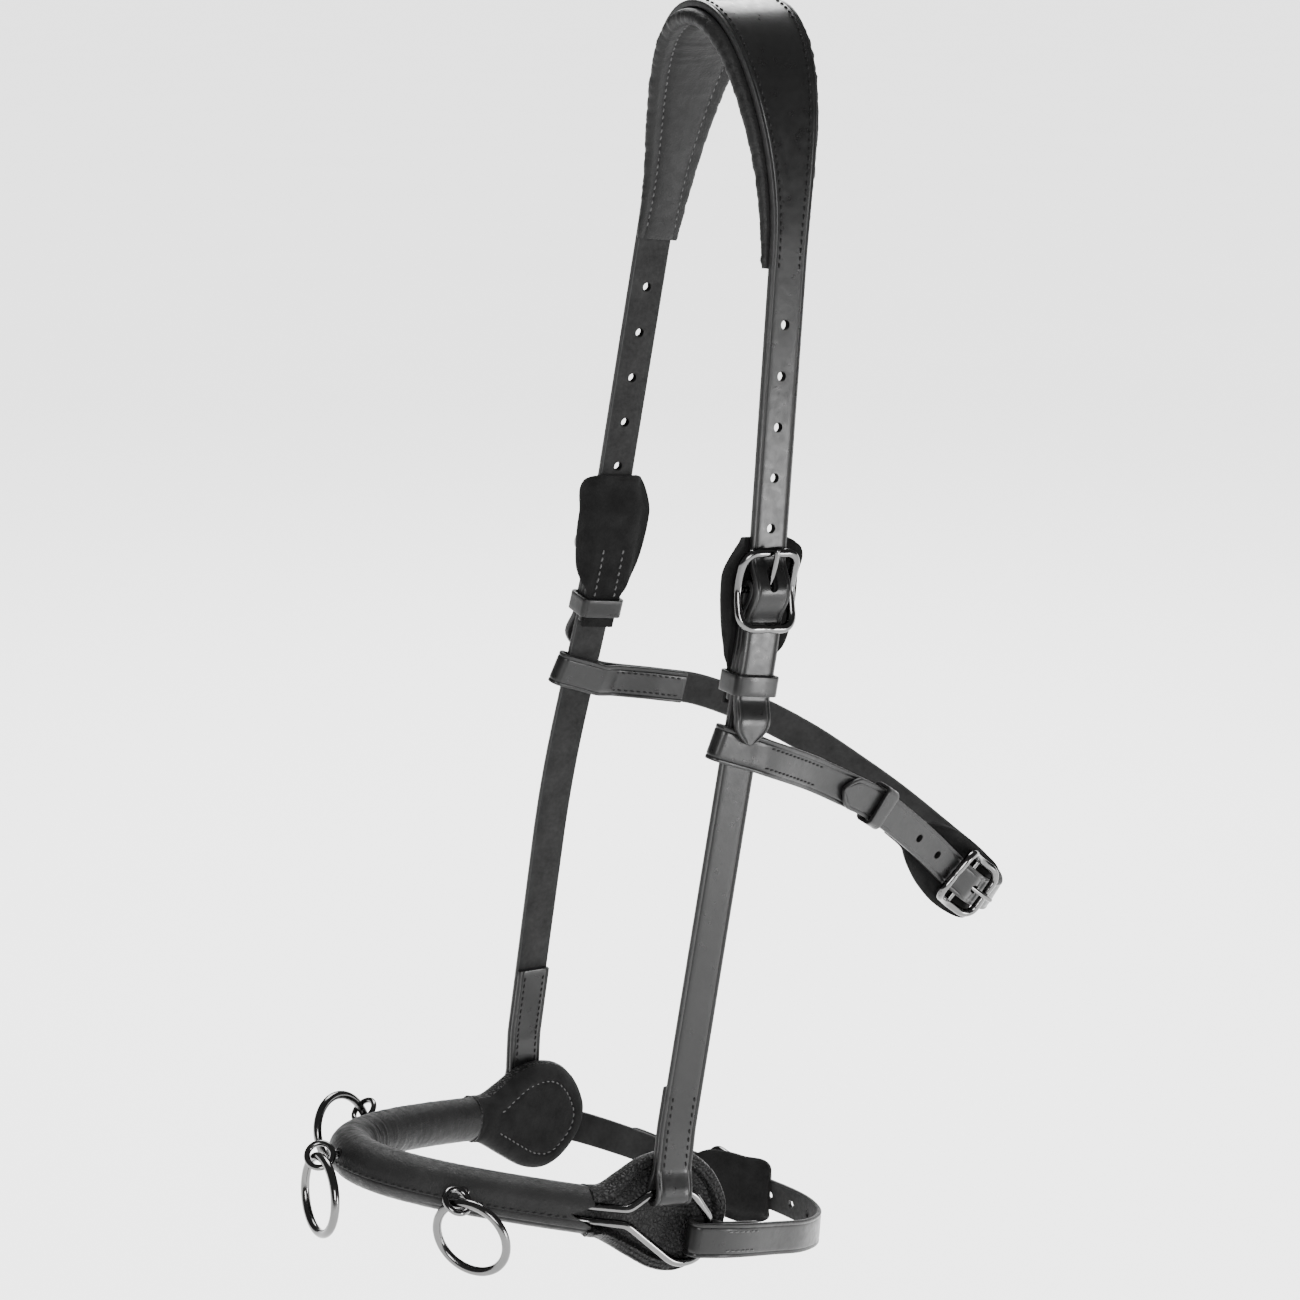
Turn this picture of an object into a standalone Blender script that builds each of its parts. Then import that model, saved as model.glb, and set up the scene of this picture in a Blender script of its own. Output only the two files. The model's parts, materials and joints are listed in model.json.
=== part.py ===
"""Lunging cavesson: a padded headpiece, two buckled cheek straps, a jowl strap and a chin strap,
and a leather-covered noseband with three rings. Metres, +Z up. The horse faces -X and its near
(left) side is -Y. The origin is the underside of the crown lining, where it rests on the poll."""

import math

import bmesh
import bpy
import numpy as np
from mathutils import Matrix, Vector

MM = 0.001

# Fit between pieces
GAP = 0.3 * MM
LAYER_GAP = 0.5 * MM
CUT_OVERRUN = 2.0 * MM

# Sampling of the curves
FINE_STEP = 0.5 * MM
LONGEST_STEP = 14.0 * MM
CHORD_ERROR = 0.11 * MM
TURN_STEP = math.radians(20)
WELD = 0.02 * MM
EDGE_BEVEL = 0.4 * MM

# Headpiece line, seen from the front and from the side
PAD_DROP = 94.0 * MM
PAD_SPREAD = 53.3 * MM
PAD_LEAN = -5.6 * MM
CROWN_REACH = 34.0 * MM
CROWN_SHOULDER = 48.0 * MM
BEND_DROP = 259.0 * MM
NEAR_BEND_SPREAD = 70.6 * MM
FAR_BEND_SPREAD = 68.4 * MM
BEND_LEAN = -27.7 * MM
BEND_RADIUS = 240.0 * MM
TWIST_FROM = 330.0 * MM
KNEE_LENGTH = 30.0 * MM
KNEE_RADIUS = 50.0 * MM
BOW_RADIUS = 700.0 * MM

# Crown strap, one piece from billet to billet
BILLET_WIDTH = 18.0 * MM
BILLET_THICKNESS = 3.0 * MM
CROWN_WIDTH = 41.0 * MM
CROWN_TAPER = 125.0 * MM
CROWN_TAPER_POWER = 2.3
BILLET_LENGTH = 334.0 * MM
TIP_LENGTH = 10.0 * MM
TIP_RISE_LENGTH = 10.5 * MM
FIRST_HOLE = 152.8 * MM
HOLE_PITCH = 21.6 * MM
HOLE_COUNT = 7
HOLE_RADIUS = 2.1 * MM
USED_HOLE = 5
USED_HOLE_LENGTH = 10.5 * MM
USED_HOLE_TO_BAR = 5.0 * MM

# Crown lining, a stitched pad with three channels
LINING_LENGTH = 130.0 * MM
LINING_DEPTH = 8.0 * MM
LINING_RIM = 4.5 * MM
LINING_ROLL = 7.0 * MM
LINING_GROOVE = 2.2 * MM
LINING_GAP = 0.4 * MM
LINING_END_SHARE = 0.42

# Cheek straps, folded round the buckle bar above and the wire loop below
CHEEK_WIDTH = 18.0 * MM
CHEEK_THICKNESS = 2.4 * MM
CHEEK_TAIL = 50.0 * MM
NEAR_CHEEK_TURN_BACK = 49.0 * MM
FAR_CHEEK_TURN_BACK = 67.0 * MM
FAR_CHEEK_BOW = (-3.0 * MM, 5.0 * MM, 0.0)
FOLD_EASE = 12.0 * MM
SLOT_WIDTH = 4.4 * MM
SLOT_LENGTH = 15.0 * MM
SLOT_SHIFT = 0.6 * MM

# Whole buckles: an outer frame with a centre bar
BAR_RADIUS = 1.4 * MM
BAR_PLAY = 0.45 * MM
BAR_UNDER_TOP = 2.2 * MM
BAR_OVER_LAYER = 0.8 * MM
FRAME_RADIUS = 2.0 * MM
BUCKLE_WIDTH = 31.0 * MM
BUCKLE_HEIGHT = 36.8 * MM
FRAME_CORNER = 8.0 * MM
PRONG_RADIUS = 1.2 * MM
HUMP_HALF = 14.0 * MM
HUMP_EASE = 0.25 * MM

# Buckle guards, leather safes behind the buckles
GUARD_THICKNESS = 1.8 * MM
GUARD_GAP = 0.55 * MM
CHEEK_GUARD_WIDTH = 38.5 * MM
CHEEK_GUARD_TOP = 22.5 * MM
CHEEK_GUARD_TAIL = 52.0 * MM
GUARD_RISE_FROM = 4.5 * MM
GUARD_RISE_TO = 18.0 * MM
GUARD_FLAP_EASE = 5.0 * MM
GUARD_FLAP_PLAY = 1.3 * MM
GUARD_FLAP_LIFT = 3.4 * MM

# Keepers, leather bands round the layers
KEEPER_THICKNESS = 1.8 * MM
KEEPER_PLAY = 0.6 * MM
CHEEK_KEEPER_HEIGHT = 9.0 * MM
CHEEK_KEEPER_BELOW = 42.0 * MM

# Jowl strap
JOWL_WIDTH = 16.0 * MM
JOWL_THICKNESS = 2.2 * MM
JOWL_NEAR_DROP = 310.0 * MM
JOWL_FAR_DROP = 317.0 * MM
JOWL_LEAD = 4.0 * MM
JOWL_LOOP_EASE = 14.0 * MM
JOWL_LOOP_PLAY = 0.8 * MM
JOWL_EDGE_PLAY = 1.7 * MM
JOWL_LOOP_SLOPE = math.radians(12.4)
JOWL_TURN_BACK = 72.0 * MM
JOWL_BUCKLE_AT = 210.0 * MM
JOWL_TAIL = 40.0 * MM
JOWL_BILLET = 123.0 * MM
JOWL_HOLE_PITCH = 19.5 * MM
JOWL_KEEPER_BEFORE = 92.0 * MM
JOWL_KEEPER_HEIGHT = 9.0 * MM
JOWL_GUARD_WIDTH = 36.0 * MM
JOWL_GUARD_TOP = 22.0 * MM
JOWL_GUARD_TAIL = 66.0 * MM

# Noseband body: where it hangs and how it is turned there
NOSE_PLACE = (-111.6 * MM, -2.0 * MM, -517.9 * MM)
NOSE_ROLL = math.radians(-9.8)
NOSE_PITCH = math.radians(15.8)
NOSE_YAW = math.radians(-3.5)
NOSE_HALF_WIDTH = 71.8 * MM
NOSE_LENGTH = 87.5 * MM
FAR_HALF_WIDTH = 64.5 * MM
FAR_SPLAY = math.radians(12)
SPLAY_CENTRE = (33.0 * MM, 72.0 * MM)
TUBE_RADIUS = 11.0 * MM
TUBE_END = -4.3 * MM

# Noseband pads
PAD_FRONT = TUBE_END + GAP
PAD_LENGTH = 72.0 * MM
PAD_HALF_HEIGHT = 29.0 * MM
PAD_FACE = 73.2 * MM
PAD_RIM = 75.2 * MM
PAD_INNER_FRONT = 61.5 * MM
PAD_INNER_REAR = 67.5 * MM

# Wire loops
WIRE_RADIUS = 2.0 * MM
WIRE_OUT = 80.6 * MM
WIRE_ROOT_INNER = (-10.5 * MM, 73.0 * MM)
WIRE_ROOT_OUTER = (-3.6 * MM, 76.5 * MM)
WIRE_ROOT_FILLET = 8.0 * MM
WIRE_PLAY = 1.45 * MM

# Rings and their eyes
RING_RADIUS = 17.2 * MM
RING_WIRE = 2.0 * MM
EYE_RADIUS = 5.9 * MM
EYE_WIRE = 1.4 * MM
EYE_STAND_OFF = 7.6 * MM
EYE_SLOPE = (0.136, 0.80, -0.583)
EYE_REACH = (0.949, -0.271, -0.15)
SHANK_DEPTH = 5.0 * MM
EYE_SIDES = 14
RING_GAP = 0.7 * MM
EYE_SHARES = {"near": -0.641, "front": -0.034, "far": 0.627}
EYE_RISES = {"near": math.radians(16.8), "front": math.radians(20.0), "far": math.radians(16.5)}
RING_REACH = {"near": (0.269, -0.316, -0.910), "front": (-0.140, -0.520, -0.840),
              "far": (-0.826, -0.539, -0.167)}
RING_FACING = {"near": (0.815, 0.578, 0.040), "front": (-0.986, 0.018, 0.166),
               "far": (-0.454, 0.811, -0.369)}

# Chin strap
CHIN_WIDTH = 16.0 * MM
CHIN_THICKNESS = 2.2 * MM
CHIN_TURN_BACK = 34.0 * MM
CHIN_FOLD_EASE = 8.0 * MM
CHIN_STRAIGHT = 16.0 * MM
CHIN_SLACK = 4.0 * MM
CHIN_FAR_TURN_BACK = 26.0 * MM
CHIN_BUCKLE_BEFORE = 116.0 * MM
CHIN_TAIL = 28.0 * MM
CHIN_BILLET = 66.0 * MM
CHIN_HOLE_PITCH = 16.0 * MM
CHIN_KEEPER_AFTER = 39.0 * MM
CHIN_KEEPER_HEIGHT = 8.0 * MM
CHIN_GUARD_WIDTH = 36.0 * MM
CHIN_GUARD_TOP = 22.0 * MM
CHIN_GUARD_TAIL = 40.0 * MM

PARTS_NAME = "lunging_cavesson"
CUTTERS_NAME = "cutters"


def clear_scene():
    for item in list(bpy.data.objects):
        bpy.data.objects.remove(item, do_unlink=True)


def make_collection(name):
    collection = bpy.data.collections.new(name)
    bpy.context.scene.collection.children.link(collection)
    return collection


def make_material(name, colour, roughness, metallic=0.0):
    material = bpy.data.materials.new(name)
    material.use_nodes = True
    shader = material.node_tree.nodes["Principled BSDF"]
    shader.inputs["Base Color"].default_value = (*colour, 1.0)
    shader.inputs["Roughness"].default_value = roughness
    shader.inputs["Metallic"].default_value = metallic
    return material


clear_scene()
PARTS = make_collection(PARTS_NAME)
CUTTERS = make_collection(CUTTERS_NAME)
LEATHER = make_material("black_bridle_leather", (0.012, 0.012, 0.013), 0.38)
SOFT_LEATHER = make_material("soft_black_leather", (0.016, 0.016, 0.017), 0.55)
SUEDE = make_material("black_suede", (0.010, 0.010, 0.010), 0.92)
STEEL = make_material("polished_steel", (0.72, 0.72, 0.73), 0.16, 1.0)


# Curves in space

def unit(vectors):
    return vectors / np.linalg.norm(vectors, axis=-1, keepdims=True)


def bezier(p0, p1, p2, p3, count):
    t = np.linspace(0.0, 1.0, count)[:, None]
    p0, p1, p2, p3 = (np.array(p) for p in (p0, p1, p2, p3))
    return (1 - t) ** 3 * p0 + 3 * (1 - t) ** 2 * t * p1 + 3 * (1 - t) * t * t * p2 + t ** 3 * p3


def flow(points, per_span=24):
    """A smooth curve through the points (centripetal Catmull-Rom)."""
    p = np.array(points, float)
    p = np.concatenate([[2 * p[0] - p[1]], p, [2 * p[-1] - p[-2]]])
    out = []
    for i in range(1, len(p) - 2):
        knots = [0.0]
        for j in range(i - 1, i + 2):
            knots.append(knots[-1] + np.linalg.norm(p[j + 1] - p[j]) ** 0.5)
        t0, t1, t2, t3 = knots
        t = np.linspace(t1, t2, per_span, endpoint=False)[:, None]
        a1 = (t1 - t) / (t1 - t0) * p[i - 1] + (t - t0) / (t1 - t0) * p[i]
        a2 = (t2 - t) / (t2 - t1) * p[i] + (t - t1) / (t2 - t1) * p[i + 1]
        a3 = (t3 - t) / (t3 - t2) * p[i + 1] + (t - t2) / (t3 - t2) * p[i + 2]
        b1 = (t2 - t) / (t2 - t0) * a1 + (t - t0) / (t2 - t0) * a2
        b2 = (t3 - t) / (t3 - t1) * a2 + (t - t1) / (t3 - t1) * a3
        out.append((t2 - t) / (t2 - t1) * b1 + (t - t1) / (t2 - t1) * b2)
    return np.concatenate(out + [p[-2][None]])


def filleted(corners, radii, steps=6, closed=False):
    """A polyline with each corner rounded by an arc of its radius."""
    corners = [np.array(c, float) for c in corners]
    out = []
    for i, corner in enumerate(corners):
        if not closed and i in (0, len(corners) - 1):
            out.append(corner)
            continue
        before, after = corners[i - 1], corners[(i + 1) % len(corners)]
        u, v = unit(before - corner), unit(after - corner)
        half = math.acos(max(-1.0, min(1.0, float(u @ v)))) / 2
        reach = radii[i] / math.tan(half)
        centre = corner + unit(u + v) * radii[i] / math.sin(half)
        start, end = corner + u * reach - centre, corner + v * reach - centre
        sweep = math.pi - 2 * half
        for k in range(steps + 1):
            w = k / steps
            arc = math.sin((1 - w) * sweep) * start + math.sin(w * sweep) * end
            out.append(centre + arc / math.sin(sweep))
    return np.array(out)


class Run:
    """A line that straps follow, with the direction across the strap and the outward one."""

    def __init__(self, points, hints):
        points = np.array(points, float)
        length = np.concatenate([[0.0], np.cumsum(np.linalg.norm(np.diff(points, axis=0), axis=1))])
        count = int(length[-1] / FINE_STEP) + 2
        self.s = np.linspace(0.0, length[-1], count)
        self.length = length[-1]
        self.points = np.stack([np.interp(self.s, length, points[:, k]) for k in range(3)], -1)
        hints = np.array(hints, float)
        if hints.ndim == 1:
            hints = np.repeat(hints[None], len(points), axis=0)
        hints = np.stack([np.interp(self.s, length, hints[:, k]) for k in range(3)], -1)
        self.along = unit(np.gradient(self.points, axis=0))
        self.out = unit(np.cross(self.along, hints))
        self.across = unit(np.cross(self.out, self.along))

    def _read(self, values, s):
        s = np.asarray(s, float)
        return np.stack([np.interp(s, self.s, values[:, k]) for k in range(3)], -1)

    def point(self, s, a=0.0, n=0.0):
        """The point at run length s, a across and n outward; past an end it goes straight on."""
        s = np.asarray(s, float)
        over = np.maximum(s - self.length, 0.0) + np.minimum(s, 0.0)
        base = self._read(self.points, s) + over[..., None] * self._read(self.along, s)
        a, n = np.asarray(a, float)[..., None], np.asarray(n, float)[..., None]
        return base + a * self._read(self.across, s) + n * self._read(self.out, s)

    def frame(self, s):
        return (self._read(self.points, s), unit(self._read(self.along, s)),
                unit(self._read(self.across, s)), unit(self._read(self.out, s)))

    def matrix(self, s, n=0.0, a=0.0):
        """Local X across, Y along and Z outward at run length s."""
        point, along, across, out = self.frame(s)
        x, y, z = Vector(across), Vector(along), Vector(out)
        m = Matrix((x, y, z)).transposed().to_4x4()
        if m.determinant() < 0:
            m = Matrix((-x, y, z)).transposed().to_4x4()
        m.translation = Vector(self.point(s, a, n))
        return m


class Profile:
    """A path over a run, in run length and height above the run."""

    def __init__(self, s, n):
        self.points = [(s, n)]

    def _to(self, places):
        self.points.extend(places)
        return self

    def line(self, s, n):
        s0, n0 = self.points[-1]
        count = max(2, int(math.hypot(s - s0, n - n0) / FINE_STEP))
        return self._to((s0 + (s - s0) * k / count, n0 + (n - n0) * k / count)
                        for k in range(1, count + 1))

    def ease(self, s, n):
        s0, n0 = self.points[-1]
        count = max(4, int(abs(s - s0) / FINE_STEP))
        shares = [k / count for k in range(1, count + 1)]
        return self._to((s0 + (s - s0) * w, n0 + (n - n0) * w * w * (3 - 2 * w)) for w in shares)

    def arc(self, centre_s, centre_n, radius, start, end):
        count = max(6, int(abs(end - start) * radius / FINE_STEP))
        angles = [start + (end - start) * k / count for k in range(1, count + 1)]
        return self._to((centre_s + radius * math.cos(t), centre_n + radius * math.sin(t))
                        for t in angles)

    def hump(self, s, rise, half):
        """Goes on to run length s over a rounded rise whose middle is half before s."""
        s0, n0 = self.points[-1]
        count = max(8, int((s - s0) / FINE_STEP))
        places = [s0 + (s - s0) * k / count for k in range(1, count + 1)]
        middle = s - half
        return self._to((p, n0 + rise * math.cos(math.pi * (p - middle) / (2 * half)) ** 2)
                        for p in places)

    def array(self):
        return np.array(self.points)


# Objects

def add_object(name, mesh, material, collection=None):
    item = bpy.data.objects.new(name, mesh)
    (collection or PARTS).objects.link(item)
    if material is not None:
        mesh.materials.append(material)
    return item


def hide_as_cutter(item):
    """Moves a helper solid to the cutters, where it shows as wire and isn't rendered."""
    for collection in list(item.users_collection):
        collection.objects.unlink(item)
    CUTTERS.objects.link(item)
    item.hide_render = True
    item.display_type = "WIRE"
    return item


def make_cutter(name, mesh):
    return hide_as_cutter(add_object(name, mesh, None))


def boolean(item, cutter, operation="DIFFERENCE"):
    modifier = item.modifiers.new(operation.lower(), "BOOLEAN")
    modifier.object = cutter
    modifier.operation = operation
    modifier.solver = "EXACT"
    return modifier


def applied(item, name=None):
    """The object's evaluated mesh, with its modifiers made permanent and curve caps welded."""
    bpy.context.view_layer.update()
    evaluated = item.evaluated_get(bpy.context.evaluated_depsgraph_get())
    mesh = bpy.data.meshes.new_from_object(evaluated)
    bm = bmesh.new()
    bm.from_mesh(mesh)
    bmesh.ops.remove_doubles(bm, verts=bm.verts, dist=WELD)
    bmesh.ops.recalc_face_normals(bm, faces=bm.faces)
    bm.to_mesh(mesh)
    bm.free()
    matrix = item.matrix_world.copy()
    name = name or item.name
    collection = item.users_collection[0]
    bpy.data.objects.remove(item, do_unlink=True)
    result = bpy.data.objects.new(name, mesh)
    collection.objects.link(result)
    result.matrix_world = matrix
    return result


def place_origin(item, place):
    """Puts an object's origin at a point, where its joint is, without moving the object."""
    bpy.context.view_layer.update()
    local = item.matrix_world.inverted() @ Vector(place)
    item.data.transform(Matrix.Translation(-local))
    item.matrix_world = item.matrix_world @ Matrix.Translation(local)
    return item


def smooth(item, degrees=40):
    item.data.shade_smooth()
    item.data.set_sharp_from_angle(angle=math.radians(degrees))
    return item


def thickened(item, thickness, bevel=EDGE_BEVEL):
    """Gives a surface thickness, half to each side, and eases its edges."""
    solid = item.modifiers.new("thickness", "SOLIDIFY")
    solid.thickness = thickness
    solid.offset = 0.0
    solid.use_even_offset = True
    edge = item.modifiers.new("eased_edges", "BEVEL")
    edge.width = bevel
    edge.segments = 1
    edge.limit_method = "ANGLE"
    edge.angle_limit = math.radians(60)
    return item


def laid_strip(name, places, across, widths, thickness, material):
    """A flat strip laid along places: a grid given thickness and eased edges."""
    bm = bmesh.new()
    bmesh.ops.create_grid(bm, x_segments=len(places) - 1, y_segments=1, size=1.0)
    for vert in bm.verts:
        i = round((vert.co.x + 1) / 2 * (len(places) - 1))
        side = 0.5 if vert.co.y > 0 else -0.5
        vert.co = Vector(places[i] + side * widths[i] * across[i])
    mesh = bpy.data.meshes.new(name)
    bm.to_mesh(mesh)
    bm.free()
    return thickened(add_object(name, mesh, material), thickness)


def stations(points, normals, keep):
    """Places along a dense path: close where it turns, far apart where it runs straight."""
    chosen = [0]
    i = 0
    while i < len(points) - 1:
        j = i + 1
        while j + 1 < len(points) and j not in keep:
            chord = points[j + 1] - points[i]
            size = np.linalg.norm(chord)
            between = points[i + 1:j + 1] - points[i]
            error = np.linalg.norm(np.cross(between, chord / max(size, WELD)), axis=1).max()
            turned = float(normals[j + 1] @ normals[i])
            if error > CHORD_ERROR or size > LONGEST_STEP or turned < math.cos(TURN_STEP):
                break
            j += 1
        chosen.append(j)
        i = j
    return chosen


TIP_SHARES = ((0.0, 0.10), (0.2, 0.40), (0.45, 0.68), (0.75, 0.90), (1.0, 1.0))


def lay_strap(name, run, profile, width, thickness, material, tip_start=0.0, tip_end=0.0):
    """A strap along a profile over a run. width is a number or a function of run length."""
    path = profile.array()
    s, n = path[:, 0], path[:, 1]
    points = run.point(s, 0.0 * s, n)
    length = np.concatenate([[0.0], np.cumsum(np.linalg.norm(np.diff(points, axis=0), axis=1))])
    fresh = np.concatenate([[True], np.diff(length) > WELD])
    points, s, length = points[fresh], s[fresh], length[fresh]
    along = unit(np.gradient(points, axis=0))
    across = run.frame(s)[2]
    across = unit(across - (across * along).sum(1)[:, None] * along)
    normals = np.cross(along, across)
    widths = np.array([width(v) for v in s]) if callable(width) else np.full(len(s), width)
    keep = set()
    for tip, distance in ((tip_start, length), (tip_end, length[-1] - length)):
        if tip:
            shares = np.array(TIP_SHARES)
            widths = widths * np.interp(distance / tip, shares[:, 0], shares[:, 1])
            keep |= {int(np.argmin(abs(distance - tip * share))) for share in shares[:, 0]}
    chosen = stations(points, normals, keep)
    return laid_strip(name, points[chosen], across[chosen], widths[chosen], thickness, material)


def punch(item, run, holes):
    """Round or long holes through a strap: (run length, radius, length, lowest, highest)."""
    bm = bmesh.new()
    for s, radius, length, low, high in holes:
        place = run.matrix(s)
        depth = high - low + 2 * CUT_OVERRUN
        made = bmesh.ops.create_cone(bm, cap_ends=True, segments=12, radius1=radius,
                                     radius2=radius, depth=depth)
        stretch = max(0.0, length / 2 - radius)
        for vert in made["verts"]:
            vert.co.y += math.copysign(stretch, vert.co.y) if abs(vert.co.y) > WELD else 0.0
            vert.co.z += (high + low) / 2
            vert.co = place @ vert.co
    mesh = bpy.data.meshes.new(item.name + "_holes")
    bm.to_mesh(mesh)
    bm.free()
    boolean(item, make_cutter(item.name + "_holes", mesh))
    return item


def wire(name, points, radius, material, closed=False, sides=2):
    """Round wire or rod along points, as a bevelled curve made into a mesh."""
    data = bpy.data.curves.new(name, "CURVE")
    data.dimensions = "3D"
    data.bevel_depth = radius
    data.bevel_resolution = sides
    data.use_fill_caps = True
    data.twist_mode = "MINIMUM"
    spline = data.splines.new("POLY")
    spline.points.add(len(points) - 1)
    for point, place in zip(spline.points, points):
        point.co = (*place, 1.0)
    spline.use_cyclic_u = closed
    item = bpy.data.objects.new(name, data)
    PARTS.objects.link(item)
    data.materials.append(material)
    return smooth(applied(item))


def band(name, run, s, opening, height, material):
    """A keeper: a leather band round an opening (across low, high, out low, high)."""
    a0, a1, n0, n1 = opening
    half = KEEPER_THICKNESS / 2
    corners = [(a0 - half, n0 - half), (a1 + half, n0 - half),
               (a1 + half, n1 + half), (a0 - half, n1 + half)]
    radius = KEEPER_THICKNESS * 0.8
    path = filleted(corners, [radius] * 4, steps=3, closed=True)
    bm = bmesh.new()
    lower, upper = [], []
    for a, n in path:
        for ring, at in ((lower, s - height / 2), (upper, s + height / 2)):
            ring.append(bm.verts.new(Vector(run.point(at, a, n))))
    for i in range(len(path)):
        j = (i + 1) % len(path)
        bm.faces.new((lower[i], lower[j], upper[j], upper[i]))
    mesh = bpy.data.meshes.new(name)
    bm.to_mesh(mesh)
    bm.free()
    item = thickened(add_object(name, mesh, material), KEEPER_THICKNESS)
    return place_origin(item, run.point(s))


GUARD_SHARES = ((0.0, 0.58), (0.023, 0.73), (0.065, 0.88), (0.137, 0.97), (0.31, 1.0),
                (0.486, 0.94), (0.60, 0.85), (0.68, 0.72), (0.74, 0.56), (0.80, 0.47), (1.0, 0.45))


def guard_flap(a, strap_width):
    """How far out of its plane a guard is at a across: 0 behind the strap, 1 at its sides."""
    start = strap_width / 2 + GUARD_FLAP_PLAY
    share = min(1.0, max(0.0, (abs(a) - start) / GUARD_FLAP_EASE))
    return share * share * (3 - 2 * share)


def guard(name, run, centre, top, tail, width, strap, bar, height, direction=1):
    """A safe behind a buckle: round behind its upper half, narrowing to a tail down the strap.
    Its sides bend out towards the buckle frame. strap is the strap's width and top face."""
    strap_width, strap_top = strap
    upper = -(strap_top + GUARD_GAP + GUARD_THICKNESS / 2)
    lift = min(GUARD_FLAP_LIFT, bar - FRAME_RADIUS - GAP - GUARD_THICKNESS / 2 - height)
    start, end = centre - direction * top, centre + direction * tail
    shares = np.array(GUARD_SHARES)
    at = [start + (end - start) * share for share in shares[:, 0]]
    path = Profile(start, upper).line(centre - direction * GUARD_RISE_TO, upper)
    path.ease(centre - direction * GUARD_RISE_FROM, height).line(end, height)
    points = path.array()
    spots = run.point(points[:, 0], 0.0 * points[:, 0], points[:, 1])
    across = run.frame(points[:, 0])[2]
    normals = np.cross(unit(np.gradient(spots, axis=0)), across)
    keep = {int(np.argmin(abs(points[:, 0] - a))) for a in at}
    chosen = stations(spots, normals, keep)
    flap = strap_width / 2 + GUARD_FLAP_PLAY
    bm = bmesh.new()
    rows = []
    for i in chosen:
        s, n = points[i]
        half = width / 2 * np.interp((s - start) / (end - start), shares[:, 0], shares[:, 1])
        first = min(half * 0.7, flap)
        offsets = [first + (half - first) * k / 2 for k in range(3)]
        row = [-a for a in offsets[::-1]] + offsets
        rows.append([bm.verts.new(Vector(run.point(s, a, n + lift * guard_flap(a, strap_width))))
                     for a in row])
    for low, high in zip(rows, rows[1:]):
        for k in range(len(low) - 1):
            bm.faces.new((low[k], low[k + 1], high[k + 1], high[k]))
    mesh = bpy.data.meshes.new(name)
    bm.to_mesh(mesh)
    bm.free()
    return thickened(add_object(name, mesh, SUEDE), GUARD_THICKNESS)


def buckle_heights(strap_top, layer):
    """Bar height, strap rise and frame height for a strap whose top face is strap_top up."""
    wrap = BAR_RADIUS + BAR_PLAY + layer
    bar = strap_top - BAR_UNDER_TOP
    rise = bar + wrap + GAP + HUMP_EASE - (strap_top - BILLET_THICKNESS)
    return bar, rise, strap_top + GAP + FRAME_RADIUS


def buckle(name, run, centre, width, height, bar, frame):
    """A whole buckle: rounded frame, arched sides and a straight centre bar."""
    half_w, half_h = width / 2 - FRAME_RADIUS, height / 2 - FRAME_RADIUS
    corners = [(-half_w, -half_h), (half_w, -half_h), (half_w, half_h), (-half_w, half_h)]
    flat = filleted(corners, [FRAME_CORNER - FRAME_RADIUS] * 4, steps=4, closed=True)
    outline = []
    for i, (a, t) in enumerate(flat):
        outline.append((a, t))
        b, u = flat[(i + 1) % len(flat)]
        if math.hypot(b - a, u - t) > 2 * FRAME_CORNER:
            outline += [(a + (b - a) * k / 4, t + (u - t) * k / 4) for k in (1, 2, 3)]
    spots = [run.point(centre + t, a, bar + (frame - bar) * min(1.0, abs(t) / half_h) ** 1.6)
             for a, t in outline]
    item = wire(name, spots, FRAME_RADIUS, STEEL, closed=True)
    ends = [run.point(centre, side * half_w, bar) for side in (-1, 1)]
    rod = wire(name + "_bar", ends, BAR_RADIUS, None)
    boolean(item, hide_as_cutter(rod), "UNION")
    return item


def prong(name, run, centre, height, bar, frame, direction):
    """A wire tongue hooked round the bar, lying on the frame. direction is -1 up the run."""
    hook = BAR_RADIUS + BAR_PLAY + PRONG_RADIUS
    start = math.radians(-60)
    turns = 8
    places = []
    for k in range(turns + 1):
        angle = start - math.radians(220) * k / turns
        places.append((hook * math.cos(angle), hook * math.sin(angle)))
    rest = frame - bar + FRAME_RADIUS + PRONG_RADIUS + GAP
    end_bar = height / 2 - FRAME_RADIUS
    places += [(end_bar * 0.30, hook + (rest - hook) * 0.36), (end_bar * 0.68, rest * 0.86),
               (end_bar, rest), (end_bar + FRAME_RADIUS * 1.2, rest)]
    spots = [run.point(centre + direction * t, 0.0, bar + n) for t, n in places]
    return place_origin(wire(name, spots, PRONG_RADIUS, STEEL), run.point(centre, 0.0, bar))


# Lines that the straps follow

BILLET_TOP = BILLET_THICKNESS / 2
CHEEK_OUTER = -(BILLET_TOP + GAP + CHEEK_THICKNESS / 2)
CHEEK_INNER = CHEEK_OUTER - CHEEK_THICKNESS - GAP
CHEEK_MIDDLE = (CHEEK_OUTER + CHEEK_INNER) / 2
CROWN_TOP = LINING_DEPTH + BILLET_THICKNESS / 2 + LINING_GAP

NOSE_MATRIX = (Matrix.Translation(NOSE_PLACE) @ Matrix.Rotation(NOSE_YAW, 4, "Z")
               @ Matrix.Rotation(NOSE_ROLL, 4, "X") @ Matrix.Rotation(NOSE_PITCH, 4, "Y"))


def nose_side(x, y, z, side):
    """A point of one side in the noseband's own frame; the far side is splayed to the rear."""
    if side < 0:
        return Vector((x, -y, z))
    x0, y0 = SPLAY_CENTRE
    x, y = x - x0, y - y0
    cos, sin = math.cos(FAR_SPLAY), math.sin(FAR_SPLAY)
    return Vector((x0 + x * cos - y * sin, y0 + x * sin + y * cos, z))


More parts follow.
